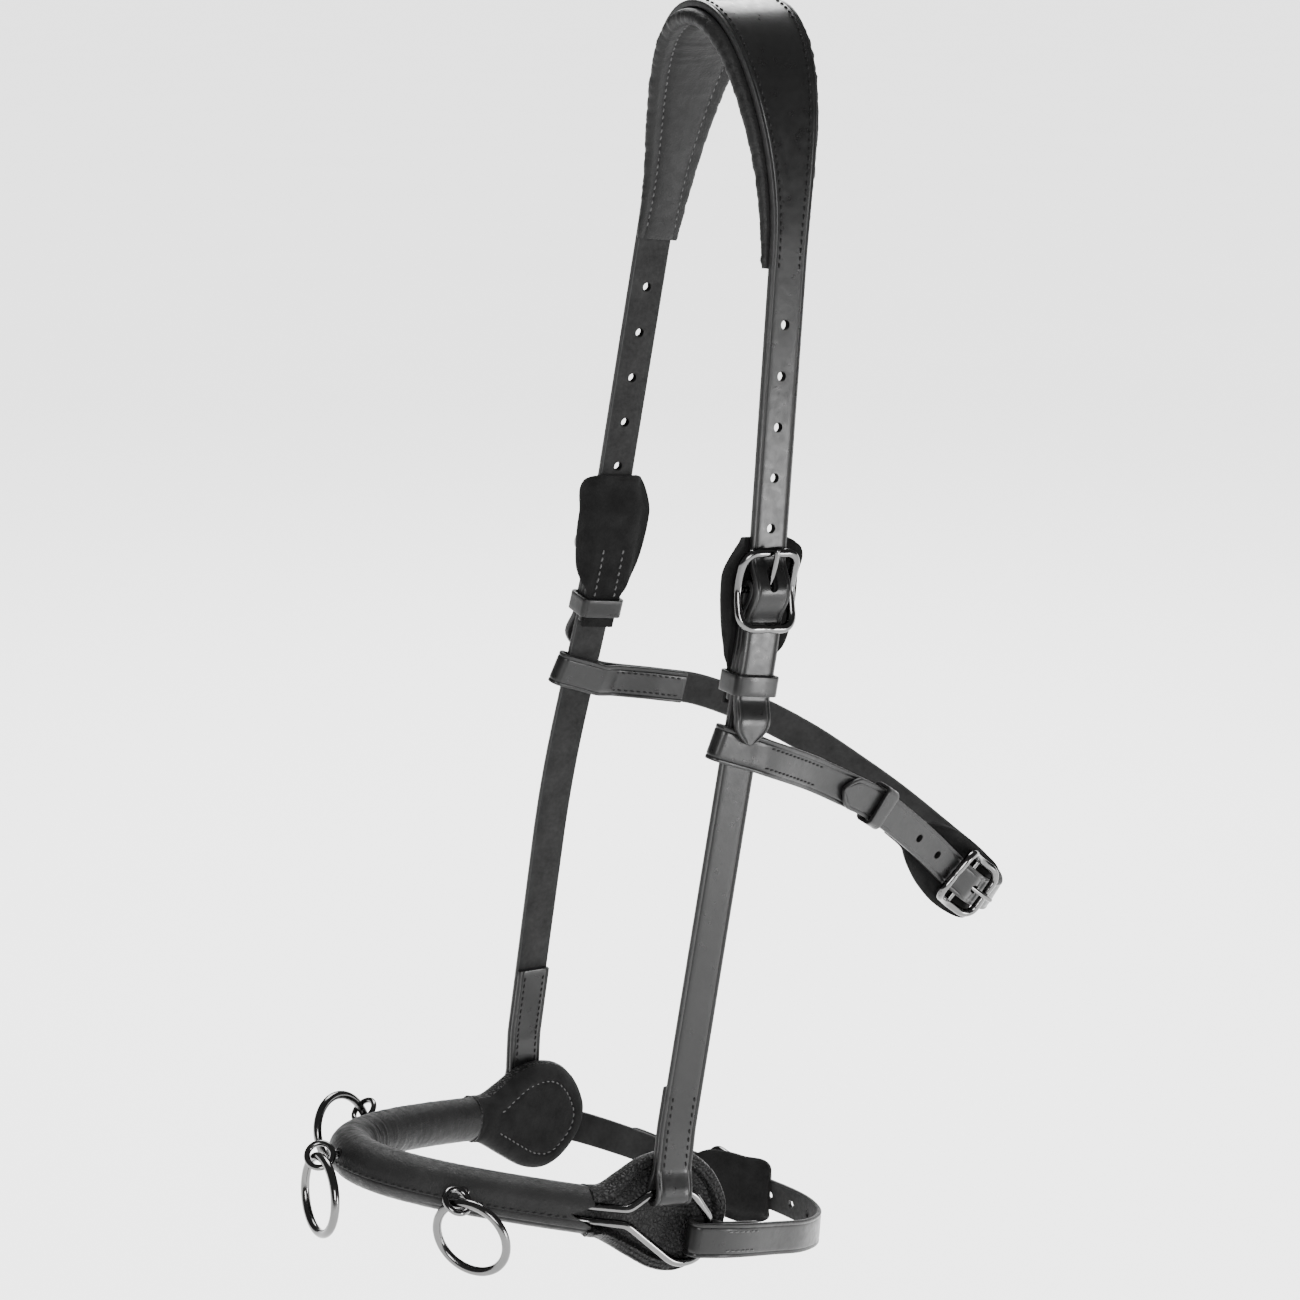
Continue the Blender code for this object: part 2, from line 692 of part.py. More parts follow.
def nose_turn(x, y, z, side):
    """A direction of one side, y pointing away from the head, in part space."""
    turned = nose_side(x, y, z, side) - nose_side(0.0, 0.0, 0.0, side)
    return np.array(NOSE_MATRIX.to_3x3() @ turned)


WIRE_CORNERS = ((14.0 * MM, 3.4 * MM), (23.5 * MM, 10.6 * MM), (45.0 * MM, 12.5 * MM),
                (56.5 * MM, 0.0), (54.5 * MM, -18.0 * MM), (43.5 * MM, -22.5 * MM),
                (14.0 * MM, -3.4 * MM))
CHEEK_LOOP_SHARE = 0.45
CHIN_LOOP_SHARE = 0.5
WIRE_FILLETS = (5.0 * MM, 6.0 * MM, 9.0 * MM, 5.0 * MM, 6.0 * MM, 13.0 * MM, 8.0 * MM)


def on_wire(first, second, share, side):
    """A point on the straight stretch between two corners of a wire loop, in part space."""
    (x0, z0), (x1, z1) = WIRE_CORNERS[first], WIRE_CORNERS[second]
    place = nose_side(x0 + (x1 - x0) * share, WIRE_OUT, z0 + (z1 - z0) * share, side)
    return np.array(NOSE_MATRIX @ place)


def head_points(side):
    """From the poll down one side to the wire loop, flat against the pad at the end."""
    top = (0.0, 0.0, CROWN_TOP)
    lean = (BEND_LEAN - PAD_LEAN) / (BEND_DROP - PAD_DROP)
    bend_spread = NEAR_BEND_SPREAD if side < 0 else FAR_BEND_SPREAD
    spread = (bend_spread - PAD_SPREAD) / (BEND_DROP - PAD_DROP)
    shoulder = CROWN_SHOULDER
    pad = (PAD_LEAN, side * PAD_SPREAD, CROWN_TOP - PAD_DROP)
    crown = bezier(top, (0.0, side * CROWN_REACH, CROWN_TOP),
                   (PAD_LEAN - lean * shoulder, side * (PAD_SPREAD - spread * shoulder),
                    pad[2] + shoulder), pad, 120)
    bend = np.array((BEND_LEAN, side * bend_spread, CROWN_TOP - BEND_DROP))
    away = nose_turn(0.0, 1.0, 0.0, side)
    end = on_wire(1, 2, CHEEK_LOOP_SHARE, side) - away * CHEEK_MIDDLE
    up = bend - end
    knee = end + unit(up - (up @ away) * away) * KNEE_LENGTH
    if side > 0:
        middle = bend + 0.45 * (knee - bend) + np.array(FAR_CHEEK_BOW)
        corners, radii = [pad, bend, middle, knee, end], [0.0, BEND_RADIUS, BOW_RADIUS,
                                                          KNEE_RADIUS, 0.0]
    else:
        corners, radii = [pad, bend, knee, end], [0.0, BEND_RADIUS, KNEE_RADIUS, 0.0]
    return np.concatenate([crown[:-1], filleted(corners, radii, 8)])


def side_run(side):
    """Its strap lies square to the head above and along the wire loop at the end."""
    points = head_points(side)
    length = np.concatenate([[0.0], np.cumsum(np.linalg.norm(np.diff(points, axis=0), axis=1))])
    share = np.clip((length - TWIST_FROM) / (length[-1] - TWIST_FROM), 0.0, 1.0)[:, None]
    level = np.array((-side * 1.0, 0.0, 0.0))
    return Run(points, level + share * (-side * nose_turn(1.0, 0.0, 0.0, side) - level))


NEAR_RUN, FAR_RUN = side_run(-1), side_run(1)
FULL_RUN = Run(np.concatenate([head_points(-1)[::-1], head_points(1)[1:]]), (-1.0, 0.0, 0.0))
BUCKLE_AT = FIRST_HOLE + USED_HOLE * HOLE_PITCH + USED_HOLE_TO_BAR


def crown_width(s):
    share = min(1.0, abs(s - NEAR_RUN.length) / CROWN_TAPER)
    return BILLET_WIDTH + (CROWN_WIDTH - BILLET_WIDTH) * (1 - share * share) ** CROWN_TAPER_POWER


# Head pieces

CHEEK_BAR, BILLET_RISE, CHEEK_FRAME = buckle_heights(BILLET_TOP, CHEEK_THICKNESS)
TIP_LIFT = JOWL_THICKNESS + JOWL_LOOP_PLAY + GAP


def make_crown_strap():
    middle = NEAR_RUN.length
    start, end = middle - BILLET_LENGTH, middle + BILLET_LENGTH
    path = Profile(start, TIP_LIFT).line(start + TIP_LENGTH, TIP_LIFT)
    path.ease(start + TIP_LENGTH + TIP_RISE_LENGTH, 0.0)
    path.line(middle - BUCKLE_AT - HUMP_HALF, 0.0)
    path.hump(middle - BUCKLE_AT + HUMP_HALF, BILLET_RISE, HUMP_HALF)
    path.line(middle + BUCKLE_AT - HUMP_HALF, 0.0)
    path.hump(middle + BUCKLE_AT + HUMP_HALF, BILLET_RISE, HUMP_HALF)
    path.line(end - TIP_LENGTH - TIP_RISE_LENGTH, 0.0)
    path.ease(end - TIP_LENGTH, TIP_LIFT).line(end, TIP_LIFT)
    item = lay_strap("crown_strap", FULL_RUN, path, crown_width, BILLET_THICKNESS, LEATHER,
                     tip_start=TIP_LENGTH, tip_end=TIP_LENGTH)
    holes = []
    for side in (-1, 1):
        for k in range(HOLE_COUNT):
            at = middle + side * (FIRST_HOLE + k * HOLE_PITCH)
            used = k == USED_HOLE
            length = USED_HOLE_LENGTH if used else 2 * HOLE_RADIUS
            rise = BILLET_RISE if abs(at - middle - side * BUCKLE_AT) < HUMP_HALF else 0.0
            holes.append((at, HOLE_RADIUS, length, -BILLET_TOP, BILLET_TOP + rise))
    return punch(item, FULL_RUN, holes)


def lining_section(half, fullness):
    """Across and out of the lining's section, round from the front rim over the top."""
    roll = LINING_ROLL / 2 * fullness
    rim = half + LINING_RIM * fullness - roll
    top = -(BILLET_TOP + LINING_GAP)
    middle = top - roll
    section = []
    for k in range(7):
        angle = math.radians(90 + 30 * k)
        section.append((-rim + roll * math.cos(angle), middle + roll * math.sin(angle)))
    depth = top - LINING_DEPTH * fullness
    channel = rim - roll * 1.15
    groove = LINING_GROOVE * fullness
    section += [(-channel, depth + groove), (-channel * 0.72, depth + groove * 0.25),
                (-channel * 0.3, depth), (channel * 0.3, depth),
                (channel * 0.72, depth + groove * 0.25), (channel, depth + groove)]
    for k in range(7):
        angle = math.radians(270 + 30 * k)
        section.append((rim + roll * math.cos(angle), middle + roll * math.sin(angle)))
    return section


def loft(name, rings, material, cap=True):
    """A closed body through rings with the same number of points."""
    bm = bmesh.new()
    rows = [[bm.verts.new(Vector(p)) for p in ring] for ring in rings]
    for low, high in zip(rows, rows[1:]):
        for i in range(len(low)):
            j = (i + 1) % len(low)
            bm.faces.new((low[i], low[j], high[j], high[i]))
    if cap:
        bm.faces.new(rows[0])
        bm.faces.new(rows[-1])
    bmesh.ops.recalc_face_normals(bm, faces=bm.faces)
    mesh = bpy.data.meshes.new(name)
    bm.to_mesh(mesh)
    bm.free()
    return smooth(add_object(name, mesh, material), 50)


def make_crown_lining():
    middle = NEAR_RUN.length
    count = 37
    rings = []
    for k in range(count):
        s = middle + LINING_LENGTH * (2 * k / (count - 1) - 1)
        share = abs(s - middle) / LINING_LENGTH
        fullness = 1 - (1 - LINING_END_SHARE) * share ** 3
        section = lining_section(crown_width(s) / 2, fullness)
        rings.append([FULL_RUN.point(s, a, n) for a, n in section])
    return loft("crown_lining", rings, SOFT_LEATHER)


def fold(path, centre_s, centre_n, radius, direction):
    """Half a turn round a bar, from the inner layer to the outer one or back."""
    if direction > 0:
        return path.arc(centre_s, centre_n, radius, math.pi / 2, -math.pi / 2)
    return path.arc(centre_s, centre_n, radius, -math.pi / 2, -3 * math.pi / 2)


def make_cheek_strap(name, run, turn_back):
    bar_wrap = BAR_RADIUS + BAR_PLAY + CHEEK_THICKNESS / 2
    wire_wrap = WIRE_RADIUS + WIRE_PLAY + CHEEK_THICKNESS / 2
    end = run.length
    path = Profile(BUCKLE_AT + CHEEK_TAIL, CHEEK_INNER)
    path.line(BUCKLE_AT + FOLD_EASE, CHEEK_INNER).ease(BUCKLE_AT, CHEEK_BAR - bar_wrap)
    fold(path, BUCKLE_AT, CHEEK_BAR, bar_wrap, -1)
    path.ease(BUCKLE_AT + FOLD_EASE, CHEEK_OUTER).line(end - FOLD_EASE, CHEEK_OUTER)
    path.ease(end, CHEEK_MIDDLE + wire_wrap)
    fold(path, end, CHEEK_MIDDLE, wire_wrap, 1)
    path.ease(end - FOLD_EASE, CHEEK_INNER).line(end - turn_back, CHEEK_INNER)
    item = lay_strap(name, run, path, CHEEK_WIDTH, CHEEK_THICKNESS, LEATHER)
    reach = bar_wrap + CHEEK_THICKNESS
    slot = (BUCKLE_AT - SLOT_SHIFT, SLOT_WIDTH / 2, SLOT_LENGTH, CHEEK_BAR - reach,
            CHEEK_BAR + reach)
    return punch(item, run, [slot])


def make_head_side(suffix, run, turn_back):
    make_cheek_strap("cheek_strap_" + suffix, run, turn_back)
    buckle("cheek_buckle_" + suffix, run, BUCKLE_AT, BUCKLE_WIDTH, BUCKLE_HEIGHT,
           CHEEK_BAR, CHEEK_FRAME)
    prong("cheek_prong_" + suffix, run, BUCKLE_AT, BUCKLE_HEIGHT, CHEEK_BAR, CHEEK_FRAME, -1)
    guard_height = CHEEK_INNER - CHEEK_THICKNESS / 2 - GUARD_GAP - GUARD_THICKNESS / 2
    guard("cheek_guard_" + suffix, run, BUCKLE_AT, CHEEK_GUARD_TOP, CHEEK_GUARD_TAIL,
          CHEEK_GUARD_WIDTH, (CHEEK_WIDTH, BILLET_TOP), CHEEK_BAR, guard_height)
    side = CHEEK_WIDTH / 2 + KEEPER_PLAY
    low = guard_height - GUARD_THICKNESS / 2 - KEEPER_PLAY
    band("cheek_keeper_" + suffix, run, BUCKLE_AT + CHEEK_KEEPER_BELOW,
         (-side, side, low, BILLET_TOP + KEEPER_PLAY), CHEEK_KEEPER_HEIGHT, LEATHER)


# Jowl strap

JOWL_STACK = JOWL_THICKNESS + LAYER_GAP
JOWL_TURN = CHEEK_THICKNESS / 2 + JOWL_LOOP_PLAY + JOWL_THICKNESS / 2
JOWL_EDGE = CHEEK_WIDTH / 2 + JOWL_EDGE_PLAY
NEAR_CHEEK_LINE, FAR_CHEEK_LINE = 2 * JOWL_STACK, JOWL_STACK


def drop_to_length(run, drop):
    return float(np.interp(-(CROWN_TOP - drop), -run.points[:, 2], run.s))


JOWL_ROUTE = ((9.2 * MM, -64.5 * MM, -325.5 * MM),
              (28.5 * MM, -60.0 * MM, -337.5 * MM), (50.0 * MM, -55.0 * MM, -351.5 * MM),
              (84.0 * MM, -47.0 * MM, -380.5 * MM), (122.2 * MM, -37.5 * MM, -416.5 * MM),
              (146.0 * MM, -26.0 * MM, -432.0 * MM), (159.5 * MM, -10.0 * MM, -435.0 * MM),
              (162.0 * MM, 8.0 * MM, -430.0 * MM), (153.0 * MM, 23.0 * MM, -419.0 * MM),
              (131.0 * MM, 38.0 * MM, -397.0 * MM), (108.0 * MM, 47.5 * MM, -377.5 * MM),
              (87.0 * MM, 54.5 * MM, -361.0 * MM), (60.0 * MM, 62.5 * MM, -343.5 * MM),
              (28.0 * MM, 69.5 * MM, -327.5 * MM), (4.0 * MM, 71.5 * MM, -320.5 * MM))


def jowl_run():
    """From the near cheek strap round behind the jaw to the far one."""
    ends = []
    for run, side, drop, height in ((NEAR_RUN, -1, JOWL_NEAR_DROP, JOWL_STACK),
                                    (FAR_RUN, 1, JOWL_FAR_DROP, 0.0)):
        s = drop_to_length(run, drop)
        n = CHEEK_OUTER + JOWL_TURN + height
        reach = JOWL_EDGE + JOWL_LEAD
        slope = math.tan(JOWL_LOOP_SLOPE)
        ends.append([run.point(s + a * slope, -side * a, n) for a in (-JOWL_EDGE, 0.0, reach)])
        ends[-1].append(run.frame(s)[1])
    near, far = ends
    points = flow([*near[:3], *JOWL_ROUTE, *far[:3][::-1]])
    length = np.concatenate([[0.0], np.cumsum(np.linalg.norm(np.diff(points, axis=0), axis=1))])
    share = length / length[-1]
    slope = np.array((0.56, 0.0, 0.83))
    rear = np.array((0.50, -0.16, 0.85))
    knots = np.array((0.0, 0.045, 0.12, 0.42, 0.58, 0.90, 0.955, 1.0))
    hints = np.array((-near[3], -near[3], slope, rear, rear, slope, -far[3], -far[3]))
    return Run(points, np.stack([np.interp(share, knots, hints[:, k]) for k in range(3)], -1))


JOWL_RUN = jowl_run()
JOWL_TOP = JOWL_THICKNESS / 2
JOWL_OUTER = -JOWL_STACK
JOWL_INNER = -2 * JOWL_STACK


def make_jowl():
    run, at = JOWL_RUN, JOWL_BUCKLE_AT
    wrap = BAR_RADIUS + BAR_PLAY + JOWL_THICKNESS / 2
    bar = JOWL_OUTER + BAR_OVER_LAYER
    rise = bar + wrap + JOWL_THICKNESS + GAP + HUMP_EASE
    frame = JOWL_TOP + GAP + HUMP_EASE + FRAME_RADIUS
    turned = JOWL_OUTER - 2 * JOWL_TURN
    mid_turn = JOWL_OUTER - JOWL_TURN
    path = Profile(JOWL_TURN_BACK, JOWL_INNER)
    path.line(2 * JOWL_EDGE + JOWL_LOOP_EASE, JOWL_INNER).ease(2 * JOWL_EDGE, turned)
    path.line(0.0, turned)
    fold(path, 0.0, mid_turn, JOWL_TURN, -1)
    path.line(at - FOLD_EASE, JOWL_OUTER).ease(at, bar + wrap)
    fold(path, at, bar, wrap, 1)
    path.ease(at - FOLD_EASE, JOWL_INNER).line(at - JOWL_TAIL, JOWL_INNER)
    item = lay_strap("jowl_buckle_strap", run, path, JOWL_WIDTH, JOWL_THICKNESS, LEATHER)
    reach = wrap + JOWL_THICKNESS
    pieces = [punch(item, run, [(at + SLOT_SHIFT, SLOT_WIDTH / 2, SLOT_LENGTH, bar - reach,
                                 bar + reach)])]

    end = run.length
    path = Profile(at - JOWL_BILLET, 0.0).line(at - HUMP_HALF, 0.0)
    path.hump(at + HUMP_HALF, rise, HUMP_HALF).line(end, 0.0)
    fold(path, end, -JOWL_TURN, JOWL_TURN, 1)
    path.line(end - 2 * JOWL_EDGE, -2 * JOWL_TURN)
    path.ease(end - 2 * JOWL_EDGE - JOWL_LOOP_EASE, -JOWL_STACK)
    path.line(end - JOWL_TURN_BACK, -JOWL_STACK)
    item = lay_strap("jowl_long_strap", run, path, JOWL_WIDTH, JOWL_THICKNESS, LEATHER,
                     tip_start=TIP_LENGTH)
    holes = []
    for k in range(-3, 4):
        place = at + USED_HOLE_TO_BAR + k * JOWL_HOLE_PITCH
        length = USED_HOLE_LENGTH if k == 0 else 2 * HOLE_RADIUS
        holes.append((place, HOLE_RADIUS, length, -JOWL_TOP, JOWL_TOP + rise * (k == 0)))
    pieces.append(punch(item, run, holes))

    pieces.append(buckle("jowl_buckle", run, at, BUCKLE_WIDTH, BUCKLE_HEIGHT, bar, frame))
    prong("jowl_prong", run, at, BUCKLE_HEIGHT, bar, frame, 1)
    guard_height = JOWL_INNER - JOWL_TOP - GUARD_GAP - GUARD_THICKNESS / 2
    pieces.append(guard("jowl_guard", run, at, JOWL_GUARD_TOP, JOWL_GUARD_TAIL, JOWL_GUARD_WIDTH,
                        (JOWL_WIDTH, JOWL_TOP), bar, guard_height, direction=-1))
    for item in pieces:
        place_origin(item, run.point(0.0))
    side = JOWL_WIDTH / 2 + KEEPER_PLAY
    low = JOWL_OUTER - JOWL_TOP - KEEPER_PLAY
    band("jowl_keeper", run, at - JOWL_KEEPER_BEFORE, (-side, side, low, JOWL_TOP + KEEPER_PLAY),
         JOWL_KEEPER_HEIGHT, LEATHER)


# Noseband

def half_width(share):
    return FAR_HALF_WIDTH if share > 0 else NOSE_HALF_WIDTH


def nose_line(share):
    """The tube's centre line in the noseband's own frame; share runs from -1, near, to 1, far."""
    return (-NOSE_LENGTH * (1 - share * share), half_width(share) * share, 0.0)


def nose_outward(share):
    x, y = 2 * NOSE_LENGTH * share, half_width(share)
    size = math.hypot(x, y)
    return Vector((-y / size, x / size, 0.0))


def wire_roots(side):
    """Inner and outer ends of the two roots, where the loop goes into the tube's end."""
    roots = []
    for z in (WIRE_CORNERS[0][1], WIRE_CORNERS[-1][1]):
        roots.append([nose_side(x, y, z, side) for x, y in (WIRE_ROOT_INNER, WIRE_ROOT_OUTER)])
    return roots


def wire_path(side):
    first, last = wire_roots(side)
    loop = [nose_side(x, WIRE_OUT, z, side) for x, z in WIRE_CORNERS]
    corners = [*first, *loop, *last[::-1]]
    return filleted(corners, (0.0, WIRE_ROOT_FILLET, *WIRE_FILLETS, WIRE_ROOT_FILLET, 0.0), 4)


def eye_frame(suffix):
    """An eye's place: its middle, with local X reaching out from the tube and Y sloping down."""
    share = EYE_SHARES[suffix]
    outward = NOSE_MATRIX.to_3x3() @ nose_outward(share)
    outward = Vector((outward.x, outward.y, 0.0)).normalized()
    along, up = Vector((-outward.y, outward.x, 0.0)), Vector((0.0, 0.0, 1.0))
    reach, slope = (x * outward + y * along + z * up for x, y, z in (EYE_REACH, EYE_SLOPE))
    reach.normalize()
    slope = (slope - slope.dot(reach) * reach).normalized()
    away = outward * math.cos(EYE_RISES[suffix]) + up * math.sin(EYE_RISES[suffix])
    frame = Matrix((reach, slope, reach.cross(slope))).transposed().to_4x4()
    frame.translation = NOSE_MATRIX @ Vector(nose_line(share)) + away * (TUBE_RADIUS + EYE_STAND_OFF)
    return frame


def shank_line(suffix):
    """Where the shank meets its eye, and its direction from the middle of the tube."""
    rim = eye_frame(suffix) @ Vector((-EYE_RADIUS, 0.0, 0.0))
    return rim, (rim - NOSE_MATRIX @ Vector(nose_line(EYE_SHARES[suffix]))).normalized()


def make_tube():
    shares = np.linspace(-1.0, 1.0, 33)
    spots = [Vector(nose_line(share)) for share in shares]
    item = wire("noseband_tube", spots, TUBE_RADIUS, SOFT_LEATHER, sides=4)
    item.matrix_world = NOSE_MATRIX
    bm = bmesh.new()
    for side in (-1, 1):
        size = 4 * TUBE_RADIUS
        place = Matrix.Translation((TUBE_END + size / 2, side * NOSE_HALF_WIDTH, 0.0))
        bmesh.ops.create_cube(bm, size=size, matrix=place)
    mesh = bpy.data.meshes.new("noseband_tube_ends")
    bm.to_mesh(mesh)
    bm.free()
    cutter = make_cutter("noseband_tube_ends", mesh)
    cutter.matrix_world = NOSE_MATRIX
    boolean(item, cutter)
    bm = bmesh.new()
    for suffix, share in EYE_SHARES.items():
        outward = NOSE_MATRIX.to_3x3().inverted() @ shank_line(suffix)[1]
        depth = SHANK_DEPTH + CUT_OVERRUN
        centre = Vector(nose_line(share)) + outward * (TUBE_RADIUS - SHANK_DEPTH + depth / 2)
        turn = outward.to_track_quat("Z", "Y").to_matrix().to_4x4()
        bmesh.ops.create_cone(bm, cap_ends=True, segments=10, radius1=EYE_WIRE + GAP,
                              radius2=EYE_WIRE + GAP, depth=depth,
                              matrix=Matrix.Translation(centre) @ turn)
    for side in (-1, 1):
        for inner, outer in wire_roots(side):
            along = (outer - inner).normalized()
            start = inner - along * GAP
            depth = (outer - start).length + 2 * CUT_OVERRUN
            turn = along.to_track_quat("Z", "Y").to_matrix().to_4x4()
            bmesh.ops.create_cone(bm, cap_ends=True, segments=12, radius1=WIRE_RADIUS + GAP,
                                  radius2=WIRE_RADIUS + GAP, depth=depth,
                                  matrix=Matrix.Translation(start + along * depth / 2) @ turn)
    mesh = bpy.data.meshes.new("noseband_tube_bores")
    bm.to_mesh(mesh)
    bm.free()
    cutter = make_cutter("noseband_tube_bores", mesh)
    cutter.matrix_world = NOSE_MATRIX
    boolean(item, cutter)
    return item


PAD_OUTLINE_SHARES = ((0.0, 0.36, 0.36), (0.10, 0.41, 0.42), (0.20, 0.59, 0.53),
                      (0.34, 0.85, 0.70), (0.53, 0.99, 0.90), (0.70, 0.95, 0.93),
                      (0.84, 0.74, 0.77), (0.94, 0.46, 0.50), (1.0, 0.16, 0.18))
PAD_RING_SHARES = ((0.30, 0.0, 0.0), (0.76, 0.0, 0.0), (0.84, 0.75, 0.0), (0.93, 1.0, 0.0),
                   (0.99, 0.55, 0.0), (1.0, 0.0, 0.30), (0.96, 0.0, 0.75), (0.80, 0.0, 1.0),
                   (0.35, 0.0, 1.0))


def make_pad(suffix, side):
    """An oval cushion: sunken outer face inside a rolled rim, domed inner face."""
    size, height = PAD_LENGTH, PAD_HALF_HEIGHT
    upper = [(PAD_FRONT + size * x, height * up) for x, up, down in PAD_OUTLINE_SHARES]
    lower = [(PAD_FRONT + size * x, -height * down) for x, up, down in PAD_OUTLINE_SHARES]
    outline = upper + lower[::-1]
    centre_x = PAD_FRONT + PAD_LENGTH / 2
    rings = []
    for scale, rim, inner in PAD_RING_SHARES:
        ring = []
        for x, z in outline:
            rear = (x - PAD_FRONT) / PAD_LENGTH
            inner_y = PAD_INNER_FRONT + (PAD_INNER_REAR - PAD_INNER_FRONT) * rear
            outer_y = PAD_FACE + (PAD_RIM - PAD_FACE) * rim * min(1.0, 5 * rear)
            y = outer_y + (inner_y - outer_y) * inner
            place = nose_side(centre_x + (x - centre_x) * scale, y, z * scale, side)
            ring.append(NOSE_MATRIX @ place)
        rings.append(ring)
    return loft("noseband_pad_" + suffix, rings, SUEDE)


def make_ring(suffix):
    """An eye on a shank set in the tube, which is returned, and the ring, turning where it goes through."""
    frame = eye_frame(suffix)
    spots = []
    for k in range(EYE_SIDES):
        angle = math.pi - 2 * math.pi * k / EYE_SIDES
        spots.append(frame @ (Vector((math.cos(angle), math.sin(angle), 0.0)) * EYE_RADIUS))
    eye = wire("ring_eye_" + suffix, spots, EYE_WIRE, STEEL, closed=True, sides=1)
    rim, away = shank_line(suffix)
    middle = NOSE_MATRIX @ Vector(nose_line(EYE_SHARES[suffix]))
    root = middle + away * (TUBE_RADIUS - SHANK_DEPTH + GAP)
    shank = wire("ring_shank_" + suffix, [rim, root], EYE_WIRE, None)
    boolean(eye, hide_as_cutter(shank), "UNION")

    bpy.ops.mesh.primitive_torus_add(major_radius=RING_RADIUS, minor_radius=RING_WIRE,
                                     major_segments=32, minor_segments=8)
    ring = bpy.context.object
    ring.name = ring.data.name = "ring_" + suffix
    for collection in list(ring.users_collection):
        collection.objects.unlink(ring)
    PARTS.objects.link(ring)
    ring.data.materials.append(STEEL)
    ring.data.transform(Matrix.Translation((0.0, RING_RADIUS, 0.0)))
    facing = Vector(RING_FACING[suffix]).normalized()
    reach = Vector(RING_REACH[suffix])
    reach = (reach - reach.dot(facing) * facing).normalized()
    ring.matrix_world = Matrix((reach.cross(facing), reach, facing)).transposed().to_4x4()
    ring.location = frame @ Vector((EYE_RADIUS - EYE_WIRE - RING_WIRE - RING_GAP, 0.0, 0.0))
    smooth(ring)
    return eye


def noseband_pivot():
    """Midway between the places where the cheek straps hold the wire loops."""
    near, far = (on_wire(1, 2, CHEEK_LOOP_SHARE, side) for side in (-1, 1))
    return (near + far) / 2


def make_noseband():
    pieces = [make_tube()]
    for suffix, side in (("near", -1), ("far", 1)):
        loop = [NOSE_MATRIX @ Vector(p) for p in wire_path(side)]
        pieces += [make_pad(suffix, side),
                   wire("wire_loop_" + suffix, loop, WIRE_RADIUS, STEEL)]
    pieces += [make_ring(suffix) for suffix in EYE_SHARES]
    for item in pieces:
        place_origin(item, noseband_pivot())


# Chin strap

CHIN_ROUTE = ((-24.5 * MM, -86.5 * MM, -543.0 * MM),
              (-5.0 * MM, -80.0 * MM, -552.0 * MM), (11.0 * MM, -69.0 * MM, -560.0 * MM),
              (21.0 * MM, -55.0 * MM, -566.5 * MM), (25.5 * MM, -38.0 * MM, -571.0 * MM),
              (23.0 * MM, -13.0 * MM, -575.0 * MM), (10.0 * MM, 12.0 * MM, -574.0 * MM),
              (-7.0 * MM, 33.0 * MM, -568.5 * MM), (-21.0 * MM, 49.0 * MM, -563.0 * MM))
CHIN_TOP = CHIN_THICKNESS / 2
CHIN_STACK = CHIN_THICKNESS + LAYER_GAP
CHIN_TURN = WIRE_RADIUS + WIRE_PLAY + CHIN_THICKNESS / 2


def chin_run():
    """From the near wire loop round behind the chin to the far one."""
    near = on_wire(3, 4, CHIN_LOOP_SHARE, -1)
    far = on_wire(3, 4, CHIN_LOOP_SHARE, 1)
    (x0, z0), (x1, z1) = WIRE_CORNERS[3], WIRE_CORNERS[4]
    upright, outward, rearward = [], [], []
    for side in (-1, 1):
        upright.append(unit(nose_turn(x0 - x1, 0.0, z0 - z1, side)))
        outward.append(nose_turn(0.0, 1.0, 0.0, side))
        rearward.append(nose_turn(1.0, 0.0, 0.0, side))
    start = near + outward[0] * CHIN_TURN - rearward[0] * CHIN_SLACK
    end = far + outward[1] * (CHIN_TURN + CHIN_STACK) - rearward[1] * CHIN_SLACK
    points = flow([start, start + rearward[0] * CHIN_STRAIGHT, *CHIN_ROUTE,
                   end + rearward[1] * CHIN_STRAIGHT, end])
    length = np.concatenate([[0.0], np.cumsum(np.linalg.norm(np.diff(points, axis=0), axis=1))])
    share = length / length[-1]
    rear = np.array((0.10, 0.05, 0.99))
    knots = np.array((0.0, 0.12, 0.3, 0.7, 0.9, 1.0))
    hints = np.array((upright[0], upright[0], rear, rear, upright[1], upright[1]))
    return Run(points, np.stack([np.interp(share, knots, hints[:, k]) for k in range(3)], -1))


